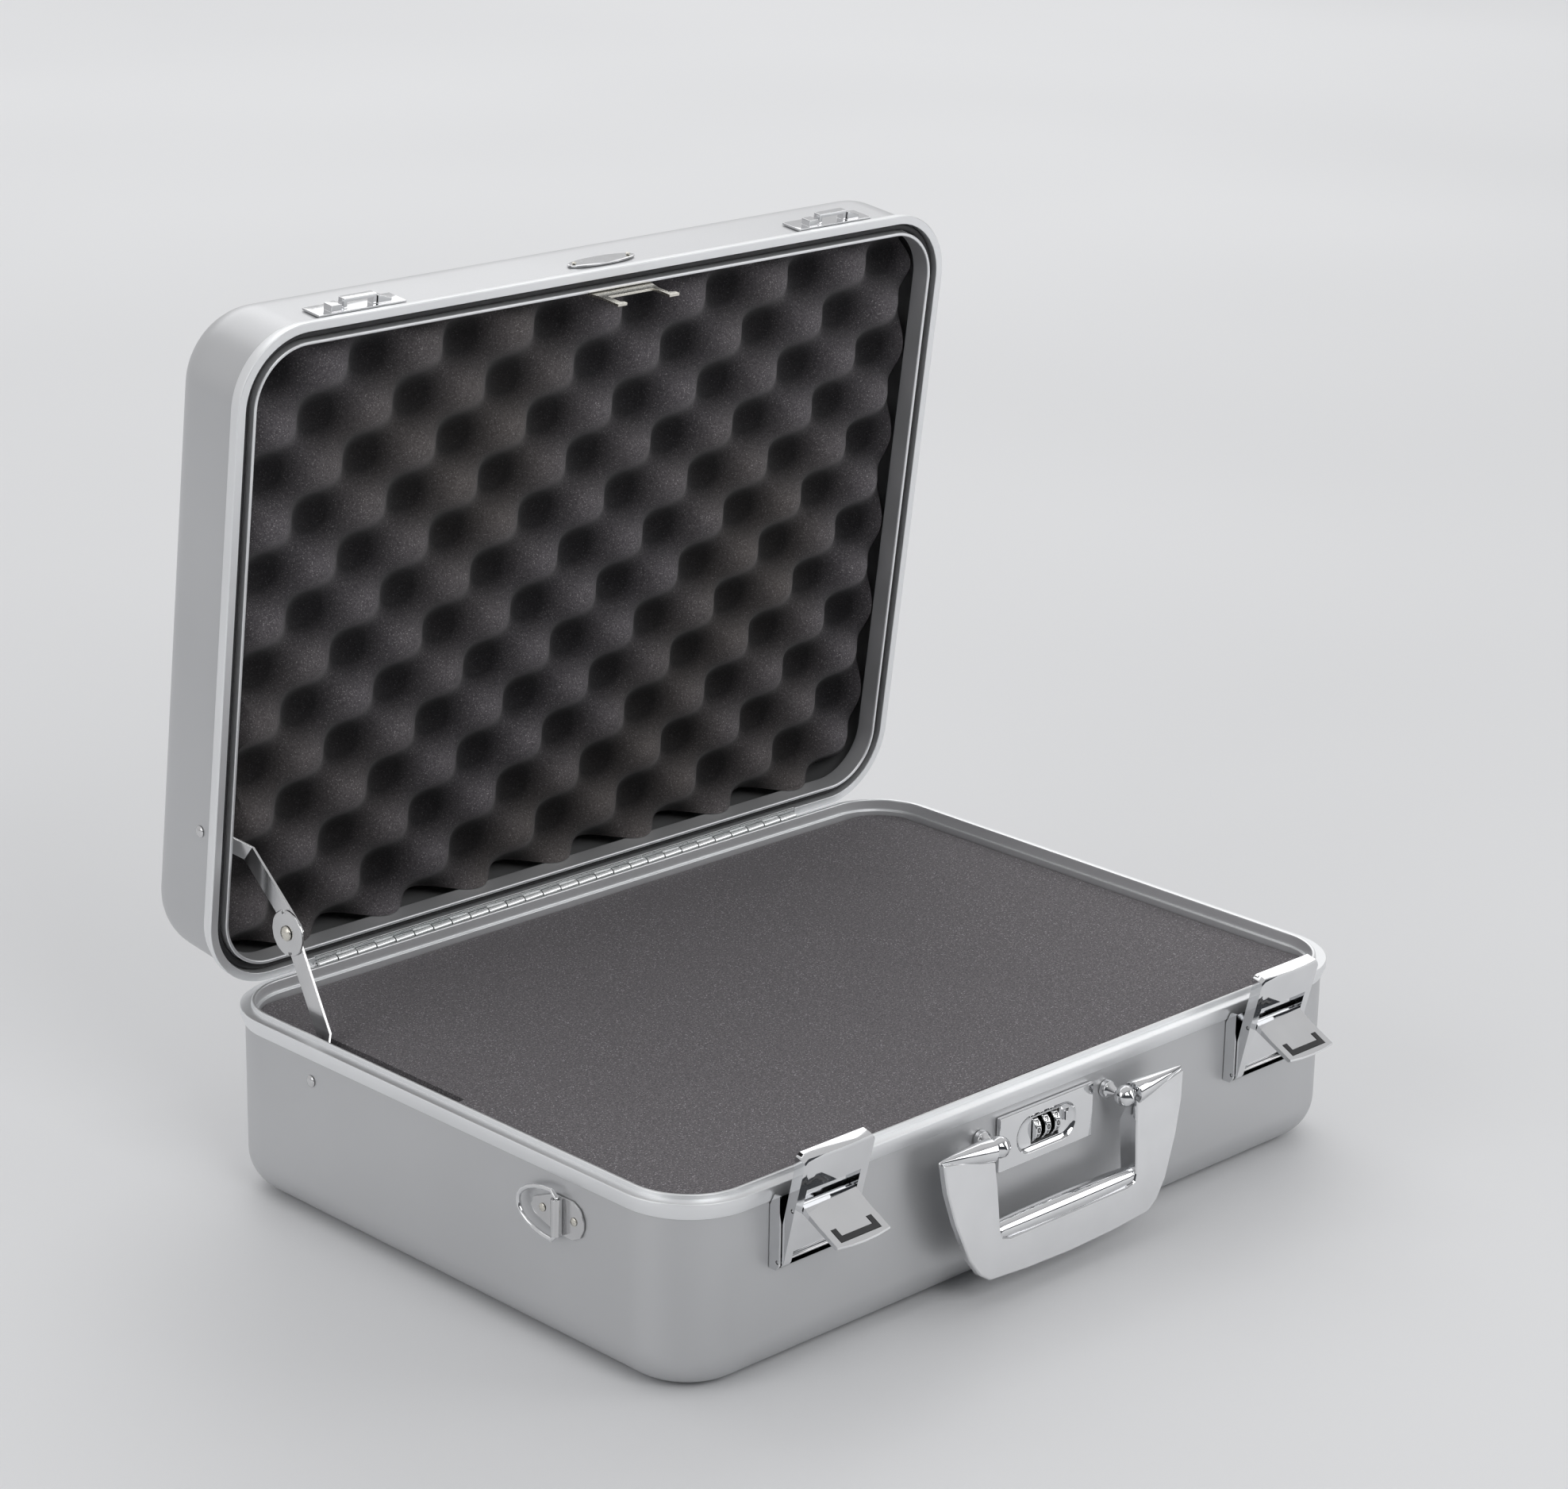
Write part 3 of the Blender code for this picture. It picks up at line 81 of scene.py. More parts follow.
class Nodes:
    """A small helper that adds and links shader nodes."""

    def __init__(self, name):
        self.material = bpy.data.materials.new(name)
        self.material.use_nodes = True
        self.tree = self.material.node_tree
        self.shader = self.tree.nodes["Principled BSDF"]
        self.place = self.add("ShaderNodeTexCoord").outputs["Object"]

    def add(self, kind, **settings):
        node = self.tree.nodes.new(kind)
        for key, value in settings.items():
            setattr(node, key, value)
        return node

    def link(self, source, target):
        self.tree.links.new(source, target)

    def noise(self, grain, detail=2.0):
        """Noise whose blobs are about grain metres wide."""
        texture = self.add("ShaderNodeTexNoise")
        texture.inputs["Scale"].default_value = 1 / grain
        texture.inputs["Detail"].default_value = detail
        self.link(self.place, texture.inputs["Vector"])
        return texture.outputs["Fac"]

    def spread(self, value, low, high, start=0.3, stop=0.7):
        """The value from start to stop, spread from low to high."""
        node = self.add("ShaderNodeMapRange")
        node.inputs["From Min"].default_value = start
        node.inputs["From Max"].default_value = stop
        node.inputs["To Min"].default_value = low
        node.inputs["To Max"].default_value = high
        self.link(value, node.inputs["Value"])
        return node.outputs["Result"]

    def between(self, value, dark, light, start=0.3, stop=0.7):
        """A colour from dark to light, as the value goes from start to stop."""
        ramp = self.add("ShaderNodeValToRGB")
        ramp.color_ramp.elements[0].position = start
        ramp.color_ramp.elements[0].color = (*dark, 1)
        ramp.color_ramp.elements[1].position = stop
        ramp.color_ramp.elements[1].color = (*light, 1)
        self.link(value, ramp.inputs["Fac"])
        return ramp.outputs["Color"]

    def mixed(self, factor, one, two, kind="MIX"):
        """One and two mixed by the factor. Each may be a socket, or a plain number or colour."""
        node = self.add("ShaderNodeMix", data_type="RGBA", blend_type=kind)
        ends = {entry.identifier: entry for entry in node.inputs}
        for name, value in (("Factor_Float", factor), ("A_Color", one), ("B_Color", two)):
            if isinstance(value, bpy.types.NodeSocket):
                self.link(value, ends[name])
            else:
                ends[name].default_value = value
        return node.outputs["Result"]

    def bump(self, height, strength, distance):
        """Raises the surface by the height, up to the distance in metres."""
        node = self.add("ShaderNodeBump")
        node.inputs["Strength"].default_value = strength
        node.inputs["Distance"].default_value = distance
        self.link(height, node.inputs["Height"])
        self.link(node.outputs["Normal"], self.shader.inputs["Normal"])

    def set(self, **values):
        """Sets the shader's own sockets, with _ for each space in their names."""
        for key, value in values.items():
            self.shader.inputs[key.replace("_", " ")].default_value = value


def metal(name, dark, light, rough_low, rough_high, grain, bump, patch=0.05, metallic=1.0):
    """A metal with a fine grain, and a slow change of tone and gloss over its surface."""
    nodes = Nodes(name)
    nodes.set(Metallic=metallic)
    nodes.link(nodes.between(nodes.noise(patch), dark, light), nodes.shader.inputs["Base Color"])
    fine = nodes.noise(grain, 3.0)
    nodes.link(nodes.spread(fine, rough_low, rough_high), nodes.shader.inputs["Roughness"])
    if bump:
        nodes.bump(fine, bump, grain * 0.2)
    return nodes.material


def foam(name, dark, light, speck, cell, painted_pit_shade_and_brown=False):
    """Open-cell foam: dark cells, lighter walls and a scatter of bright specks; for the lid, also
    brown patches and painted shade, darker in the pits and lighter on the crests.
    """
    nodes = Nodes(name)
    nodes.set(Roughness=1.0, Sheen_Weight=0.10, Sheen_Roughness=0.6, Specular_IOR_Level=0.12)
    cells = nodes.noise(cell, 5.0)
    colour = nodes.between(cells, dark, light, 0.34, 0.68)
    specks = nodes.spread(nodes.noise(cell * 0.55, 0.0), 0.0, 0.8, 0.66, 0.78)
    colour = nodes.mixed(specks, colour, (*speck, 1))
    if painted_pit_shade_and_brown:
        worn = nodes.spread(nodes.noise(0.16, 1.0), 0.0, 0.35, 0.46, 0.62)
        brown = nodes.between(cells, (0.055, 0.047, 0.034), (0.080, 0.070, 0.052))
        colour = nodes.mixed(worn, colour, brown)
        # Painted shade and light: the colour is made darker deep in the pits and lighter on the
        # crests, by how deep each point lies.
        depth = nodes.add("ShaderNodeAttribute", attribute_name="pit_depth_for_painted_shade").outputs["Fac"]
        tone = nodes.between(depth, (1.45, 1.42, 1.44), (0.22, 0.22, 0.23), 0.08, 0.70)
        colour = nodes.mixed(1.0, colour, tone, "MULTIPLY")
    nodes.link(colour, nodes.shader.inputs["Base Color"])
    nodes.bump(cells, 0.35, cell * 0.4)
    return nodes.material


def plain(name, dark, light, rough, grain):
    """Rubber or moulded plastic with a faint mottle and a fine grain."""
    nodes = Nodes(name)
    nodes.link(nodes.between(nodes.noise(0.01), dark, light), nodes.shader.inputs["Base Color"])
    fine = nodes.noise(grain, 2.0)
    nodes.link(nodes.spread(fine, rough - 0.08, rough + 0.08), nodes.shader.inputs["Roughness"])
    nodes.bump(fine, 0.25, grain * 0.3)
    return nodes.material


def make_materials():
    return {
        "anodised_shell": metal("shell_satin", (0.56, 0.565, 0.575), (0.60, 0.605, 0.615),
                                0.38, 0.46, 0.0005, 0.05, 0.12, 0.75),
        "rim_aluminium": metal("rim_satin", (0.86, 0.87, 0.88), (0.90, 0.91, 0.92),
                               0.38, 0.42, 0.0010, 0.0, 0.05, 0.75),
        "hinge_aluminium": metal("hinge_satin", (0.80, 0.82, 0.82), (0.86, 0.87, 0.87),
                                 0.26, 0.32, 0.0010, 0.0, 0.05),
        "bright_chrome": metal("bright_chrome_plate", (0.74, 0.745, 0.755), (0.78, 0.785, 0.795),
                               0.03, 0.07, 0.004, 0.0, 0.02),
        "steel_strip": metal("rolled_steel", (0.60, 0.60, 0.605), (0.68, 0.68, 0.685),
                             0.14, 0.22, 0.0010, 0.02, 0.02),
        "nickel_fitting": metal("warm_nickel", (0.66, 0.64, 0.58), (0.74, 0.715, 0.65),
                                0.22, 0.34, 0.0006, 0.04, 0.01),
        "black_rubber": plain("seal_rubber", (0.010, 0.010, 0.011), (0.022, 0.022, 0.024),
                              0.5, 0.0004),
        "black_inlay": plain("inlay_black", (0.022, 0.022, 0.024), (0.035, 0.035, 0.037),
                             0.5, 0.0003),
        "base_foam_grey": foam("base_foam_cells", (0.098, 0.091, 0.098), (0.182, 0.171, 0.180),
                               (0.46, 0.44, 0.46), 0.0011),
        # The lid foam gets brown patches and painted shade: darker pits, lighter crests.
        "lid_foam_grey": foam("lid_foam_cells", (0.058, 0.054, 0.058), (0.100, 0.095, 0.100),
                              (0.26, 0.25, 0.25), 0.0011, True),
    }


# ---------------------------------------------------------------- mesh helpers


def add_mesh(name, bm, place=None):
    bmesh.ops.recalc_face_normals(bm, faces=bm.faces)
    mesh = bpy.data.meshes.new(name)
    bm.to_mesh(mesh)
    bm.free()
    if place:
        mesh.transform(place)
    thing = bpy.data.objects.new(name, mesh)
    bpy.context.scene.collection.objects.link(thing)
    return thing


def bridge(bm, one, two):
    """Joins two rings of points with a band of faces."""
    for i in range(len(one)):
        j = (i + 1) % len(one)
        bm.faces.new((one[i], one[j], two[j], two[i]))


def loft(name, sections, closed=False):
    """A skin over rings of points, with its ends capped or joined to each other."""
    bm = bmesh.new()
    rings = [[bm.verts.new(point) for point in section] for section in sections]
    for one, two in zip(rings, rings[1:]):
        bridge(bm, one, two)
    if closed:
        bridge(bm, rings[-1], rings[0])
    else:
        bm.faces.new(rings[0])
        bm.faces.new(list(reversed(rings[-1])))
    return add_mesh(name, bm)


def box(name, low, high):
    corners = [(0, 0), (1, 0), (1, 1), (0, 1)]
    span = list(zip(low, high))
    return loft(name, [[(span[0][a], span[1][b], span[2][c]) for a, b in corners] for c in (0, 1)])


def bake(thing):
    """Turns the result of the modifiers into the piece's own mesh."""
    graph = bpy.context.evaluated_depsgraph_get()
    baked = bpy.data.meshes.new_from_object(thing.evaluated_get(graph))
    thing.modifiers.clear()
    thing.data = baked


def cut(thing, *cutters):
    for cutter in cutters:
        step = thing.modifiers.new("cut", "BOOLEAN")
        step.operation = "DIFFERENCE"
        step.solver = "EXACT"
        step.object = cutter
        bpy.context.view_layer.update()
        bake(thing)
        bpy.data.objects.remove(cutter, do_unlink=True)


def round_edges(thing, width, segments=2, angle=30):
    step = thing.modifiers.new("edges", "BEVEL")
    step.width = width
    step.segments = segments
    step.limit_method = "ANGLE"
    step.angle_limit = radians(angle)
    step.harden_normals = False


def even_normals(thing):
    step = thing.modifiers.new("normals", "WEIGHTED_NORMAL")
    step.keep_sharp = True
    step.weight = 80


def smooth(thing, angle=35):
    thing.data.shade_smooth()
    thing.data.set_sharp_from_angle(angle=radians(angle))


def dress(thing, slot, body, *nodes, place=None):
    """Gives a new piece its material, its body and the CAD nodes that it stands for."""
    thing.data.materials.clear()
    thing.data.materials.append(FINISH[slot])
    if place:
        thing.data.transform(place)
    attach(thing, body)
    if nodes:
        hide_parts(*nodes)
    return thing


def outline(inset, steps=CORNER_STEPS, least=0.001):
    """The case outline moved in by the inset, going round once."""
    radius = max(CORNER_R - inset, least)
    middle_x = HALF_W - inset - radius
    middle_y = HALF_D - inset - radius
    points = []
    for quarter, (sign_x, sign_y) in enumerate([(1, 1), (-1, 1), (-1, -1), (1, -1)]):
        for i in range(steps + 1):
            turn = (quarter + i / steps) * pi / 2
            points.append((sign_x * middle_x + radius * cos(turn),
                           sign_y * middle_y + radius * sin(turn)))
    return points


# ---------------------------------------------------------------- sheet and rims


def shell(name, mouth_z, flat_z, edge_r, panel):
    """One pressed tray of sheet metal, its mouth at mouth_z."""
    way = 1 if flat_z > mouth_z else -1
    rings = [(RIM_PROUD, mouth_z), (RIM_PROUD, flat_z - way * (edge_r + 0.006))]
    steps = 12
    for i in range(steps + 1):
        turn = i / steps * pi / 2
        rings.append((RIM_PROUD + edge_r * (1 - cos(turn)), flat_z - way * edge_r * (1 - sin(turn))))
    start = RIM_PROUD + edge_r
    rings.append((start + 0.006, flat_z))
    if panel:
        rings += [(start + panel - 0.001, flat_z), (start + panel, flat_z + way * 0.0001),
                  (start + panel + 0.0015, flat_z + way * 0.00075),
                  (start + panel + 0.003, flat_z + way * 0.0014),
                  (start + panel + 0.004, flat_z + way * 0.0015)]
    bm = bmesh.new()
    loops = [[bm.verts.new((x, y, z)) for x, y in outline(inset, least=0.012)] for inset, z in rings]
    for one, two in zip(loops, loops[1:]):
        bridge(bm, one, two)
    bm.faces.new(loops[-1])
    thing = add_mesh(name, bm)
    flat = max(thing.data.polygons, key=lambda face: face.area)
    thicken = thing.modifiers.new("sheet", "SOLIDIFY")
    thicken.thickness = SHELL_T
    thicken.offset = -1 if flat.normal.z * way > 0 else 1
    thicken.use_even_offset = True
    bpy.context.view_layer.update()
    bake(thing)
    return thing


def make_shells():
    """The base sheet, with a window for the number wheels, and the lid sheet."""
    base = shell("base_sheet", BASE_H - 0.0024, 0.0, BASE_EDGE_R, 0)
    plate_low, plate_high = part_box("lock_plate")
    window_low = plate_low + LOCK_WINDOW_IN
    window_high = plate_high - LOCK_WINDOW_IN
    window_high.x = plate_high.x - LOCK_WINDOW_RIGHT_IN
    window_high.y = plate_high.y + 0.01
    cut(base, box("window", window_low, window_high))
    smooth(base)
    even_normals(base)
    dress(base, "anodised_shell", "base", "base_shell")
    lid = shell("lid_sheet", BASE_H + 0.0038, BASE_H + LID_H, LID_EDGE_R, LID_PANEL_IN)
    smooth(lid)
    even_normals(lid)
    dress(lid, "anodised_shell", "lid", "lid_shell", place=LID_TURN)


def hinge_room(name, way):
    """What the hinge takes out of a rim: the barrel's bed and the leaf's shallow step."""
    reach = HINGE_HALF + 0.0006
    turns = [tau * i / 24 for i in range(24)]
    barrel = loft(name + "_barrel", [
        [(x, HALF_D + HINGE_ROOM_R * cos(a), BASE_H + HINGE_ROOM_R * sin(a)) for a in turns]
        for x in (-reach, reach)])
    step = sorted((-0.0013 * way, 0.004 * way))
    leaf = box(name + "_leaf", (-reach, HALF_D - 0.0046, BASE_H + step[0]),
               (reach, HALF_D + 0.002, BASE_H + step[1]))
    return barrel, leaf


def rim(name, profile, way):
    """One rim extrusion, its profile swept round the case outline and the hinge's room cut out."""
    rings = [[(x, y, BASE_H + height) for x, y in outline(inset)] for inset, height in profile]
    thing = loft(name, rings, closed=True)
    cut(thing, *hinge_room(name, way))
    smooth(thing, 30)
    round_edges(thing, 0.00028, 2, 32)
    even_normals(thing)
    return thing


def make_rims():
    """The base rim has a ledge and a round-topped tongue, the lid rim a groove for the seal."""
    base_profile = [
        (0.0003, 0.0), (0.0, -0.0003), (0.0, -0.0033), (0.0018, -0.0078), (0.0022, -0.0080),
        (0.0022, -0.0021), (0.0040, -0.0021), (0.0040, -0.0115), (0.0085, -0.0115),
        (0.0088, -0.0112), (0.0088, -0.0040), (0.0084, -0.0036), (0.0076, -0.0036),
        (0.0074, -0.0034), (0.0074, 0.0013), (0.0071, 0.0019), (0.0066, 0.0021),
        (0.0061, 0.0021), (0.0056, 0.0018), (0.0054, 0.0012), (0.0053, 0.0),
    ]
    dress(rim("base_rim", base_profile, 1), "rim_aluminium", "base", "base_frame")
    lid_profile = [
        (0.0003, 0.0003), (0.0, 0.0006), (0.0, 0.0036), (0.0018, 0.0080), (0.0022, 0.0082),
        (0.0022, 0.0034), (0.0040, 0.0034), (0.0040, 0.0112), (0.0104, 0.0112), (0.0108, 0.0108),
        (0.0108, 0.0008), (0.0105, 0.0004), (0.0101, 0.0003), (0.0094, 0.0003), (0.0091, 0.0006),
        (0.0090, 0.0010), (0.0090, 0.0062), (0.0044, 0.0062), (0.0044, 0.0005), (0.0042, 0.0003),
    ]
    dress(rim("lid_rim", lid_profile, -1), "rim_aluminium", "lid", "lid_frame", place=LID_TURN)


def make_gasket():
    """A hollow-looking round seal lying in the lid rim's groove."""
    centre, radius, bed = 0.0067, 0.0019, 0.0059
    profile = [(0.0087, bed), (0.0047, bed)]
    for i in range(9):
        turn = pi + pi * i / 8
        profile.append((centre + radius * cos(turn), 0.0047 + radius * sin(turn)))
    rings = [[(x, y, BASE_H + height) for x, y in outline(inset)] for inset, height in profile]
    thing = loft("rim_seal", rings, closed=True)
    smooth(thing, 50)
    dress(thing, "black_rubber", "lid", "lid_gasket", place=LID_TURN)


# ---------------------------------------------------------------- foam


def foam_sheet(name, inset, corner_r, columns, rows, face, back_z, edge):
    """A foam block with a modelled face: face(x, y) is its height at a place."""
    half_w = HALF_W - inset
    half_d = HALF_D - inset
    bm = bmesh.new()
    grid = []
    for j in range(rows + 1):
        y = half_d * (2 * j / rows - 1)
        over = max(abs(y) - (half_d - corner_r), 0)
        reach = half_w - corner_r + max(corner_r**2 - over**2, 0) ** 0.5
        line = []
        for i in range(columns + 1):
            x = reach * (2 * i / columns - 1)
            line.append(bm.verts.new((x, y, face(x, y))))
        grid.append(line)
    for low, high in zip(grid, grid[1:]):
        for i in range(columns):
            bm.faces.new((low[i], low[i + 1], high[i + 1], high[i]))
    border = [*grid[0], *(line[-1] for line in grid[1:-1]), *reversed(grid[-1]),
              *(line[0] for line in reversed(grid[1:-1]))]
    ring = border
    for shrink, z in edge:
        below = [bm.verts.new((v.co.x * (1 - shrink / half_w), v.co.y * (1 - shrink / half_d), z))
                 for v in border]
        bridge(bm, ring, below)
        ring = below
    last = [bm.verts.new((v.co.x, v.co.y, back_z)) for v in ring]
    bridge(bm, ring, last)
    bm.faces.new(last)
    return add_mesh(name, bm)


PIT_PITCH_X = 0.0566
PIT_PITCH_V = 0.0492
PIT_X = -0.1400
PIT_V = 0.3035
CREST_W = 0.0062
PIT_DEPTH = 0.0200
STAY_ROOM_W = 0.0275
STAY_ROOM_V = (0.058, 0.166)
STAY_ROOM_X = -0.2035
STAY_ROOM_SLOPE = 0.004
BASE_FOAM_IN = 0.0093
LID_FOAM_IN = 0.0112
STAY_SLOT_LOW = Vector((-HALF_W, 0.0043, 0.0662))
STAY_SLOT_HIGH = Vector((-0.2055, 0.1053, BASE_H))
LOCK_ROOM_HALF = 0.033
LOCK_ROOM_BACK_Y = -0.1462


def pit_shape(x, v):
    """How far from a peak to the bottom of a pit a place on the lid foam is, from 0 to 1."""
    swing = cos(tau * (x - PIT_X) / PIT_PITCH_X) * cos(tau * (v - PIT_V) / PIT_PITCH_V)
    return (0.5 + 0.5 * swing) ** 1.1


def egg_crate(x, y):
    """The lid foam's moulded face, in the shut lid's coordinates."""
    v = HALF_D - y
    wobble = 0.0010 * noise.noise(Vector((x * 30, v * 30, 3.1)))
    w = CREST_W + PIT_DEPTH * pit_shape(x, v) + wobble
    if STAY_ROOM_V[0] < v < STAY_ROOM_V[1]:
        left = max(0.0, min(1.0, (STAY_ROOM_X - x) / STAY_ROOM_SLOPE))
        w = max(w, STAY_ROOM_W * left)
    return BASE_H + w


def shade_pits(thing):
    """Stores how deep in a pit each point is, for the painted shade in the foam's colour: darker in
    the pits, lighter on the crests.
    """
    depth = thing.data.attributes.new("pit_depth_for_painted_shade", "FLOAT", "POINT")
    for point, value in zip(thing.data.vertices, depth.data):
        value.value = pit_shape(point.co.x, HALF_D - point.co.y)


def make_foams():
    """The egg-crate foam in the lid and the plain block in the base, with their clearances."""
    lid = foam_sheet("lid_egg_crate", LID_FOAM_IN, 0.026, 240, 176, egg_crate, BASE_H + 0.0555,
                     [(0.0, BASE_H + 0.038), (0.010, BASE_H + 0.051)])
    smooth(lid, 60)
    # Painted shade: the lid foam's colour is darker in the pits and lighter on the crests.
    shade_pits(lid)
    dress(lid, "lid_foam_grey", "lid", "lid_foam", place=LID_TURN)

    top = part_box("base_foam")[1].z

    def flat_face(x, y):
        border = min(HALF_W - BASE_FOAM_IN - abs(x), HALF_D - BASE_FOAM_IN - abs(y))
        fall = 0.0010 * max(0.0, 1 - border / 0.002) ** 2
        return top - 0.0002 + 0.0003 * noise.noise(Vector((x * 22, y * 22, 0.4))) - fall

    base = foam_sheet("base_foam_block", BASE_FOAM_IN, 0.0287, 160, 116, flat_face, 0.0017,
                      [(0.0, 0.0185), (0.0050, 0.0068), (0.0165, 0.0017)])
    body_low, body_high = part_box("lock_body")
    room_back = max(body_high.y, LOCK_ROOM_BACK_Y) + 0.0005
    lock_low = (-LOCK_ROOM_HALF, -HALF_D, body_low.z - 0.004)
    lock_high = (LOCK_ROOM_HALF, room_back, BASE_H)
    cut(base, box("stay_slot", STAY_SLOT_LOW, STAY_SLOT_HIGH),
        box("lock_room", lock_low, lock_high))
    smooth(base, 60)
    dress(base, "base_foam_grey", "base", "base_foam")


# ---------------------------------------------------------------- lock


def stadium(half_w, half_h, steps=16):
    """Points of a slot with round ends, as (x, z)."""
    points = []
    for side in (1, -1):
        for i in range(steps + 1):
            turn = pi * i / steps - side * pi / 2
            points.append((side * (half_w - half_h) + half_h * cos(turn), half_h * sin(turn)))
    return points


def make_lock_plate():
    """The plate with a bowl-shaped recess that the number wheels stand in."""
    low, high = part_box("lock_plate")
    middle_z = (low.z + high.z) / 2
    plate = box("lock_face", low, high)
    round_edges(plate, 0.0006, 3, 60)
    bake(plate)
    bowl = [(0.0210, 0.0100, -0.0002), (0.0204, 0.0094, 0.0001), (0.0200, 0.0090, 0.0006),
            (0.0193, 0.0083, 0.0013), (0.0180, 0.0070, 0.0018), (0.0160, 0.0050, 0.0021)]
    recess = loft("recess", [[(x, low.y + deep, middle_z + z) for x, z in stadium(wide, tall)]
                             for wide, tall, deep in bowl])
    wheels_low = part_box("dial_1")[0]
    wheels_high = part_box("dial_3")[1]
    window = box("wheel_window", (wheels_low.x - 0.0006, low.y - 0.001, middle_z - 0.0066),
                 (wheels_high.x + 0.0006, high.y + 0.001, middle_z + 0.0066))
    slide_low, slide_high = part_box("lock_slide")
    slot = box("slide_slot", (slide_low.x - 0.0003, low.y - 0.001, slide_low.z - 0.0003),
               (slide_high.x + 0.0022, high.y + 0.001, slide_high.z + 0.0003))
    cut(plate, recess, window, slot)
    smooth(plate, 28)
    even_normals(plate)
    dress(plate, "bright_chrome", "base", "lock_plate")


def make_digits():
    """Ten plain digits round each number wheel."""
    for number in (1, 2, 3):
        low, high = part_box(f"dial_{number}")
        axis = (low + high) / 2
        band = (high.z - low.z) / 2 - 0.0006
        bm = bmesh.new()
        for digit in range(10):
            text = bpy.data.curves.new("digit", "FONT")
            text.body = str(digit)
            text.align_x = "CENTER"
            text.align_y = "CENTER"
            text.size = 0.0036
            text.extrude = 0.00005
            text.offset = 0.00003
            carrier = bpy.data.objects.new("digit", text)
            bpy.context.scene.collection.objects.link(carrier)
            bpy.context.view_layer.update()
            bake_from = carrier.evaluated_get(bpy.context.evaluated_depsgraph_get())
            flat = bpy.data.meshes.new_from_object(bake_from)
            for point in flat.vertices:
                turn = point.co.y / band - digit * tau / 10
                radius = band + 0.00004 + point.co.z
                point.co = (axis.x + 0.0004 + point.co.x, axis.y - radius * cos(turn),
                            axis.z + radius * sin(turn))
            bm.from_mesh(flat)
            bpy.data.objects.remove(carrier, do_unlink=True)
        dress(add_mesh(f"dial_{number}_digits", bm), "black_inlay", f"dial_{number}_body")


# ---------------------------------------------------------------- CAD nodes that stay

KEPT = {
    "hinge_aluminium": (0.00015, ["hinge_leaf_base", "hinge_leaf_lid"]),
    "steel_strip": (0.00018, [
        "hinge_pin", "latch_left_pin", "latch_right_pin", "latch_left_lever_pin",
        "latch_right_lever_pin", "dial_axle", "ring_clip_left", "ring_clip_right", "stay_lower",
        "stay_upper", "stay_disc", "stay_rivet_base", "stay_rivet_lid"]),
    "bright_chrome": (0.00030, [
        "latch_left_housing", "latch_right_housing", "latch_left_cover", "latch_right_cover",
        "latch_left_lever", "latch_right_lever", "catch_left", "catch_right", "handle",
        "handle_post_left", "handle_post_right", "lock_slide", "badge",
        "dial_1", "dial_2", "dial_3", "d_ring_left", "d_ring_right"]),
    "nickel_fitting": (0.00015, [
        "lock_hook", "lock_body", "badge_rivet_left", "badge_rivet_right", "ring_rivet_left_front",
        "ring_rivet_left_back", "ring_rivet_right_front", "ring_rivet_right_back", "stay_rivet"]),
    "black_inlay": (0.00005, ["latch_left_inlay", "latch_right_inlay"]),
}


def dress_kept_nodes():
    """Materials, softened edges and even shading for the CAD pieces that stay as they are."""
    for slot, (edge, names) in KEPT.items():
        for name in names:
            thing = frame["nodes"][name]
            for place in thing.material_slots:
                place.material = FINISH[slot]
            weld = thing.modifiers.new("weld", "WELD")
            weld.merge_threshold = 0.00001
            round_edges(thing, edge, 2, 38)
            smooth(thing, 38)
            even_normals(thing)


# ---------------------------------------------------------------- studio


def card(name, centre, size, facing, strength):
    """A soft white panel of light of this size, turned to face a point."""
    light = bpy.data.lights.new(name, "AREA")
    light.shape = "RECTANGLE"
    light.size, light.size_y = size
    light.energy = strength
    thing = bpy.data.objects.new(name, light)
    thing.location = centre
    direction = Vector(facing) - Vector(centre)
    thing.rotation_euler = direction.to_track_quat("-Z", "Y").to_euler()
    bpy.context.scene.collection.objects.link(thing)


def make_floor():
    """A wide pale floor, just under the case."""
    bm = bmesh.new()
    bmesh.ops.create_grid(bm, x_segments=4, y_segments=4, size=6.0)
    floor = add_mesh("studio_floor", bm, Matrix.Translation((0, 0, -0.0002)))
    nodes = Nodes("pale_floor")
    tone = nodes.between(nodes.noise(0.9, 1.0), (0.74, 0.745, 0.755), (0.78, 0.785, 0.795))
    nodes.link(tone, nodes.shader.inputs["Base Color"])
    nodes.link(nodes.spread(nodes.noise(0.002), 0.48, 0.56), nodes.shader.inputs["Roughness"])
    floor.data.materials.append(nodes.material)


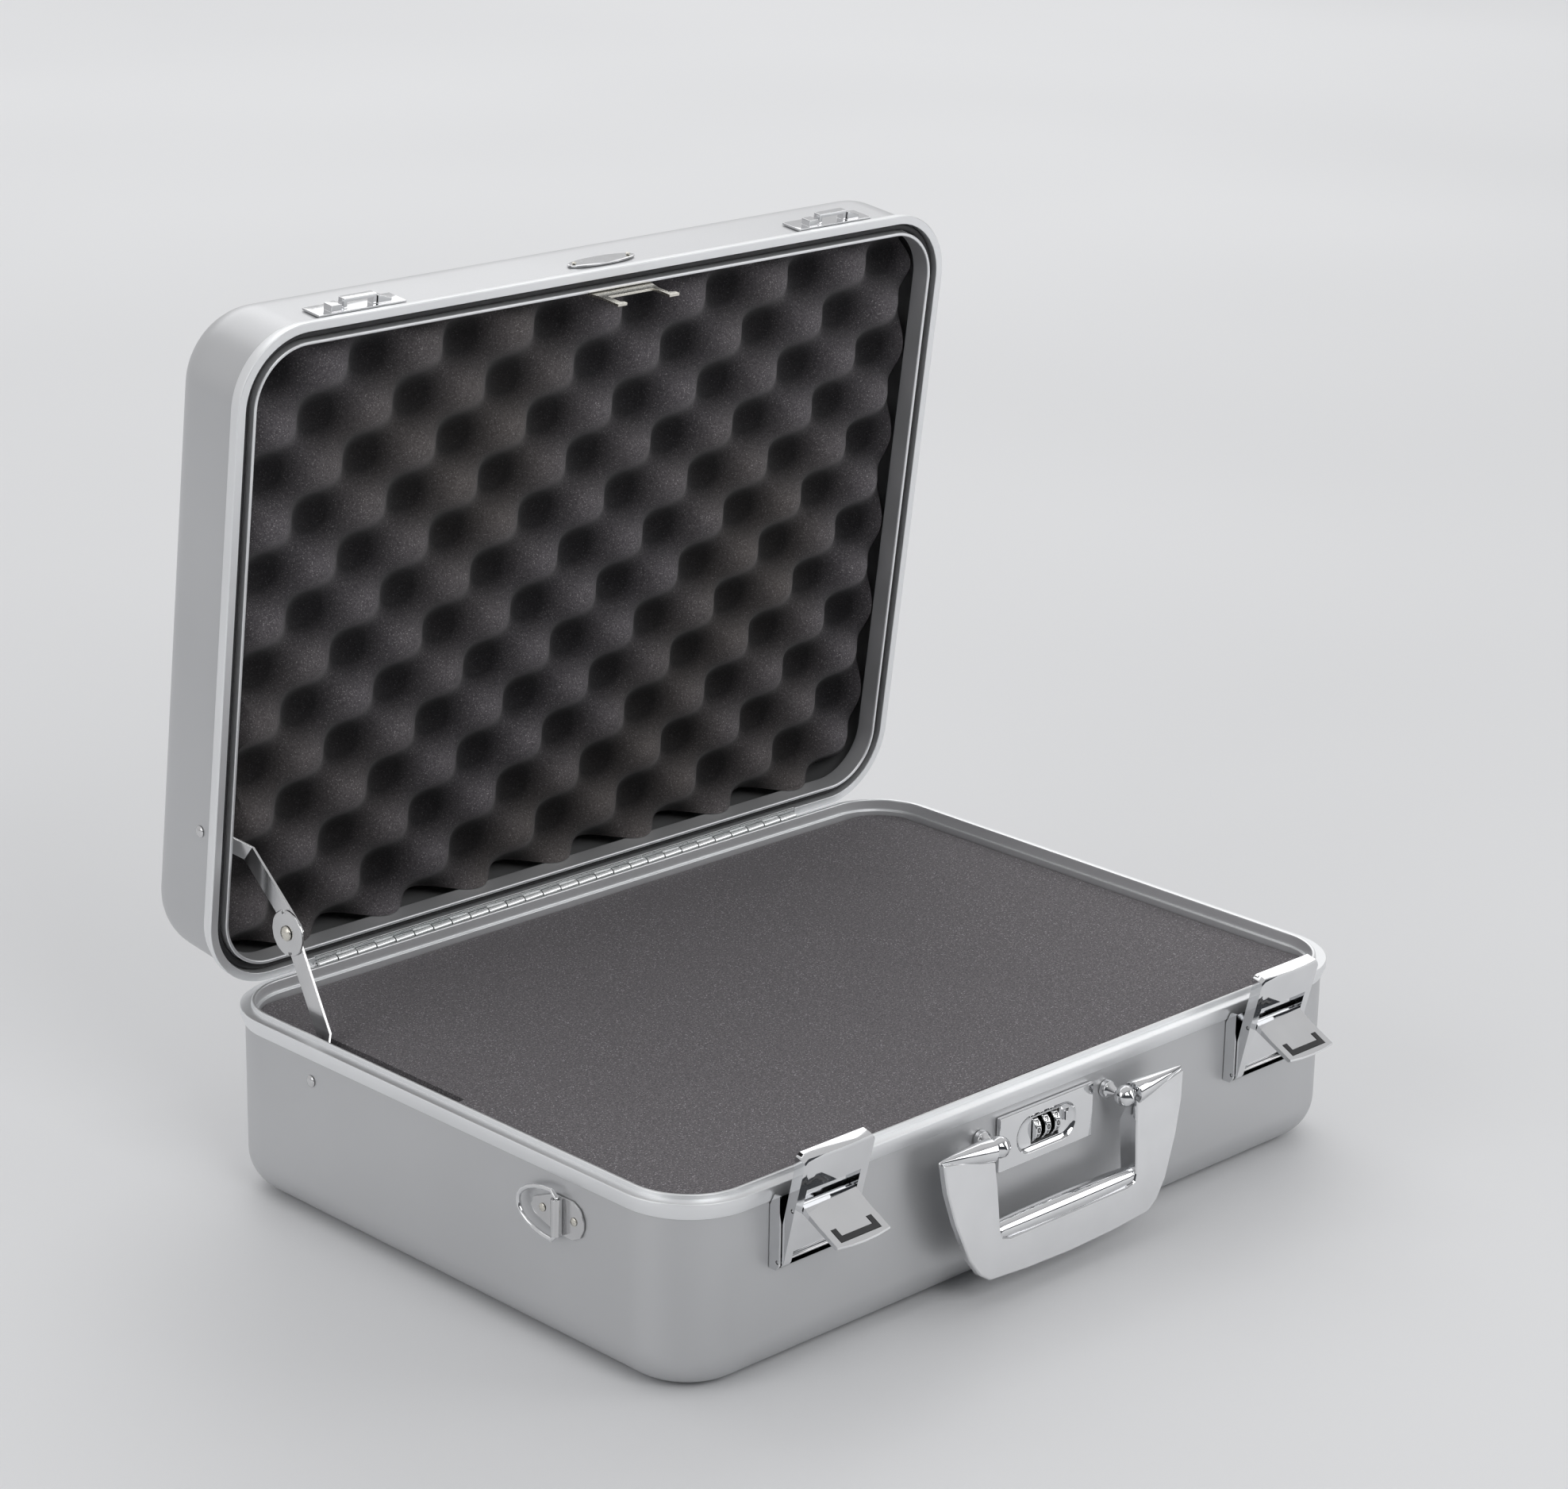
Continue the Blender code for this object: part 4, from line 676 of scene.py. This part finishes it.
def make_world():
    """A studio that is bright behind and above the case, and darker towards the camera."""
    world = bpy.data.worlds.new("studio")
    bpy.context.scene.world = world
    world.use_nodes = True
    tree = world.node_tree
    place = tree.nodes.new("ShaderNodeTexCoord")
    towards = tree.nodes.new("ShaderNodeVectorMath")
    towards.operation = "DOT_PRODUCT"
    towards.inputs[1].default_value = (0.10, 0.62, 0.55)
    ramp = tree.nodes.new("ShaderNodeValToRGB")
    ramp.color_ramp.elements[0].position = 0.0
    ramp.color_ramp.elements[0].color = (0.10, 0.105, 0.115, 1)
    ramp.color_ramp.elements[1].position = 0.55
    ramp.color_ramp.elements[1].color = (0.98, 0.98, 0.99, 1)
    lift = tree.nodes.new("ShaderNodeMath")
    lift.operation = "ADD"
    lift.inputs[1].default_value = 0.22
    tree.links.new(place.outputs["Generated"], towards.inputs[0])
    tree.links.new(towards.outputs["Value"], lift.inputs[0])
    tree.links.new(lift.outputs["Value"], ramp.inputs["Fac"])
    tree.links.new(ramp.outputs["Color"], tree.nodes["Background"].inputs["Color"])
    tree.nodes["Background"].inputs["Strength"].default_value = 0.62


def make_lights():
    card("back_softbox", (0.5, 1.7, 2.3), (2.6, 1.6), (0.1, 0.1, 0.0), 9)
    card("left_softbox", (-2.3, 0.1, 1.2), (1.2, 1.8), (0, 0, 0.15), 9)
    card("far_wash", (3.0, 3.2, 2.8), (4.5, 4.5), (3.4, 3.6, 0.0), 70)
    card("front_softbox", (-0.6, -2.5, 2.0), (1.6, 1.2), (0, 0, 0.15), 24)
    card("right_softbox", (1.5, -1.6, 0.9), (1.2, 1.2), (0.1, -0.1, 0.05), 9)


def make_camera():
    """A long lens from the front left, a little above the open lid's middle."""
    spot = Vector((-1.3149, -1.3147, 0.8381))
    forward = Vector((0.66757, 0.67265, -0.31922)).normalized()
    roll = radians(1.106)
    level_right = forward.cross(Vector((0, 0, 1))).normalized()
    level_up = level_right.cross(forward)
    right = level_right * cos(roll) + level_up * sin(roll)
    up = level_up * cos(roll) - level_right * sin(roll)
    lens = bpy.data.cameras.new("camera")
    lens.lens = 94.57
    lens.sensor_width = 36
    lens.clip_end = 50
    camera = bpy.data.objects.new("camera", lens)
    turn = Matrix((right, up, -forward)).transposed().to_4x4()
    camera.matrix_world = Matrix.Translation(spot) @ turn
    bpy.context.scene.collection.objects.link(camera)
    bpy.context.scene.camera = camera


# ---------------------------------------------------------------- build

FINISH = make_materials()
make_shells()
make_rims()
make_gasket()
make_foams()
make_lock_plate()
make_digits()
dress_kept_nodes()
make_floor()
make_world()
make_lights()
make_camera()
bpy.context.scene.view_settings.view_transform = "Standard"
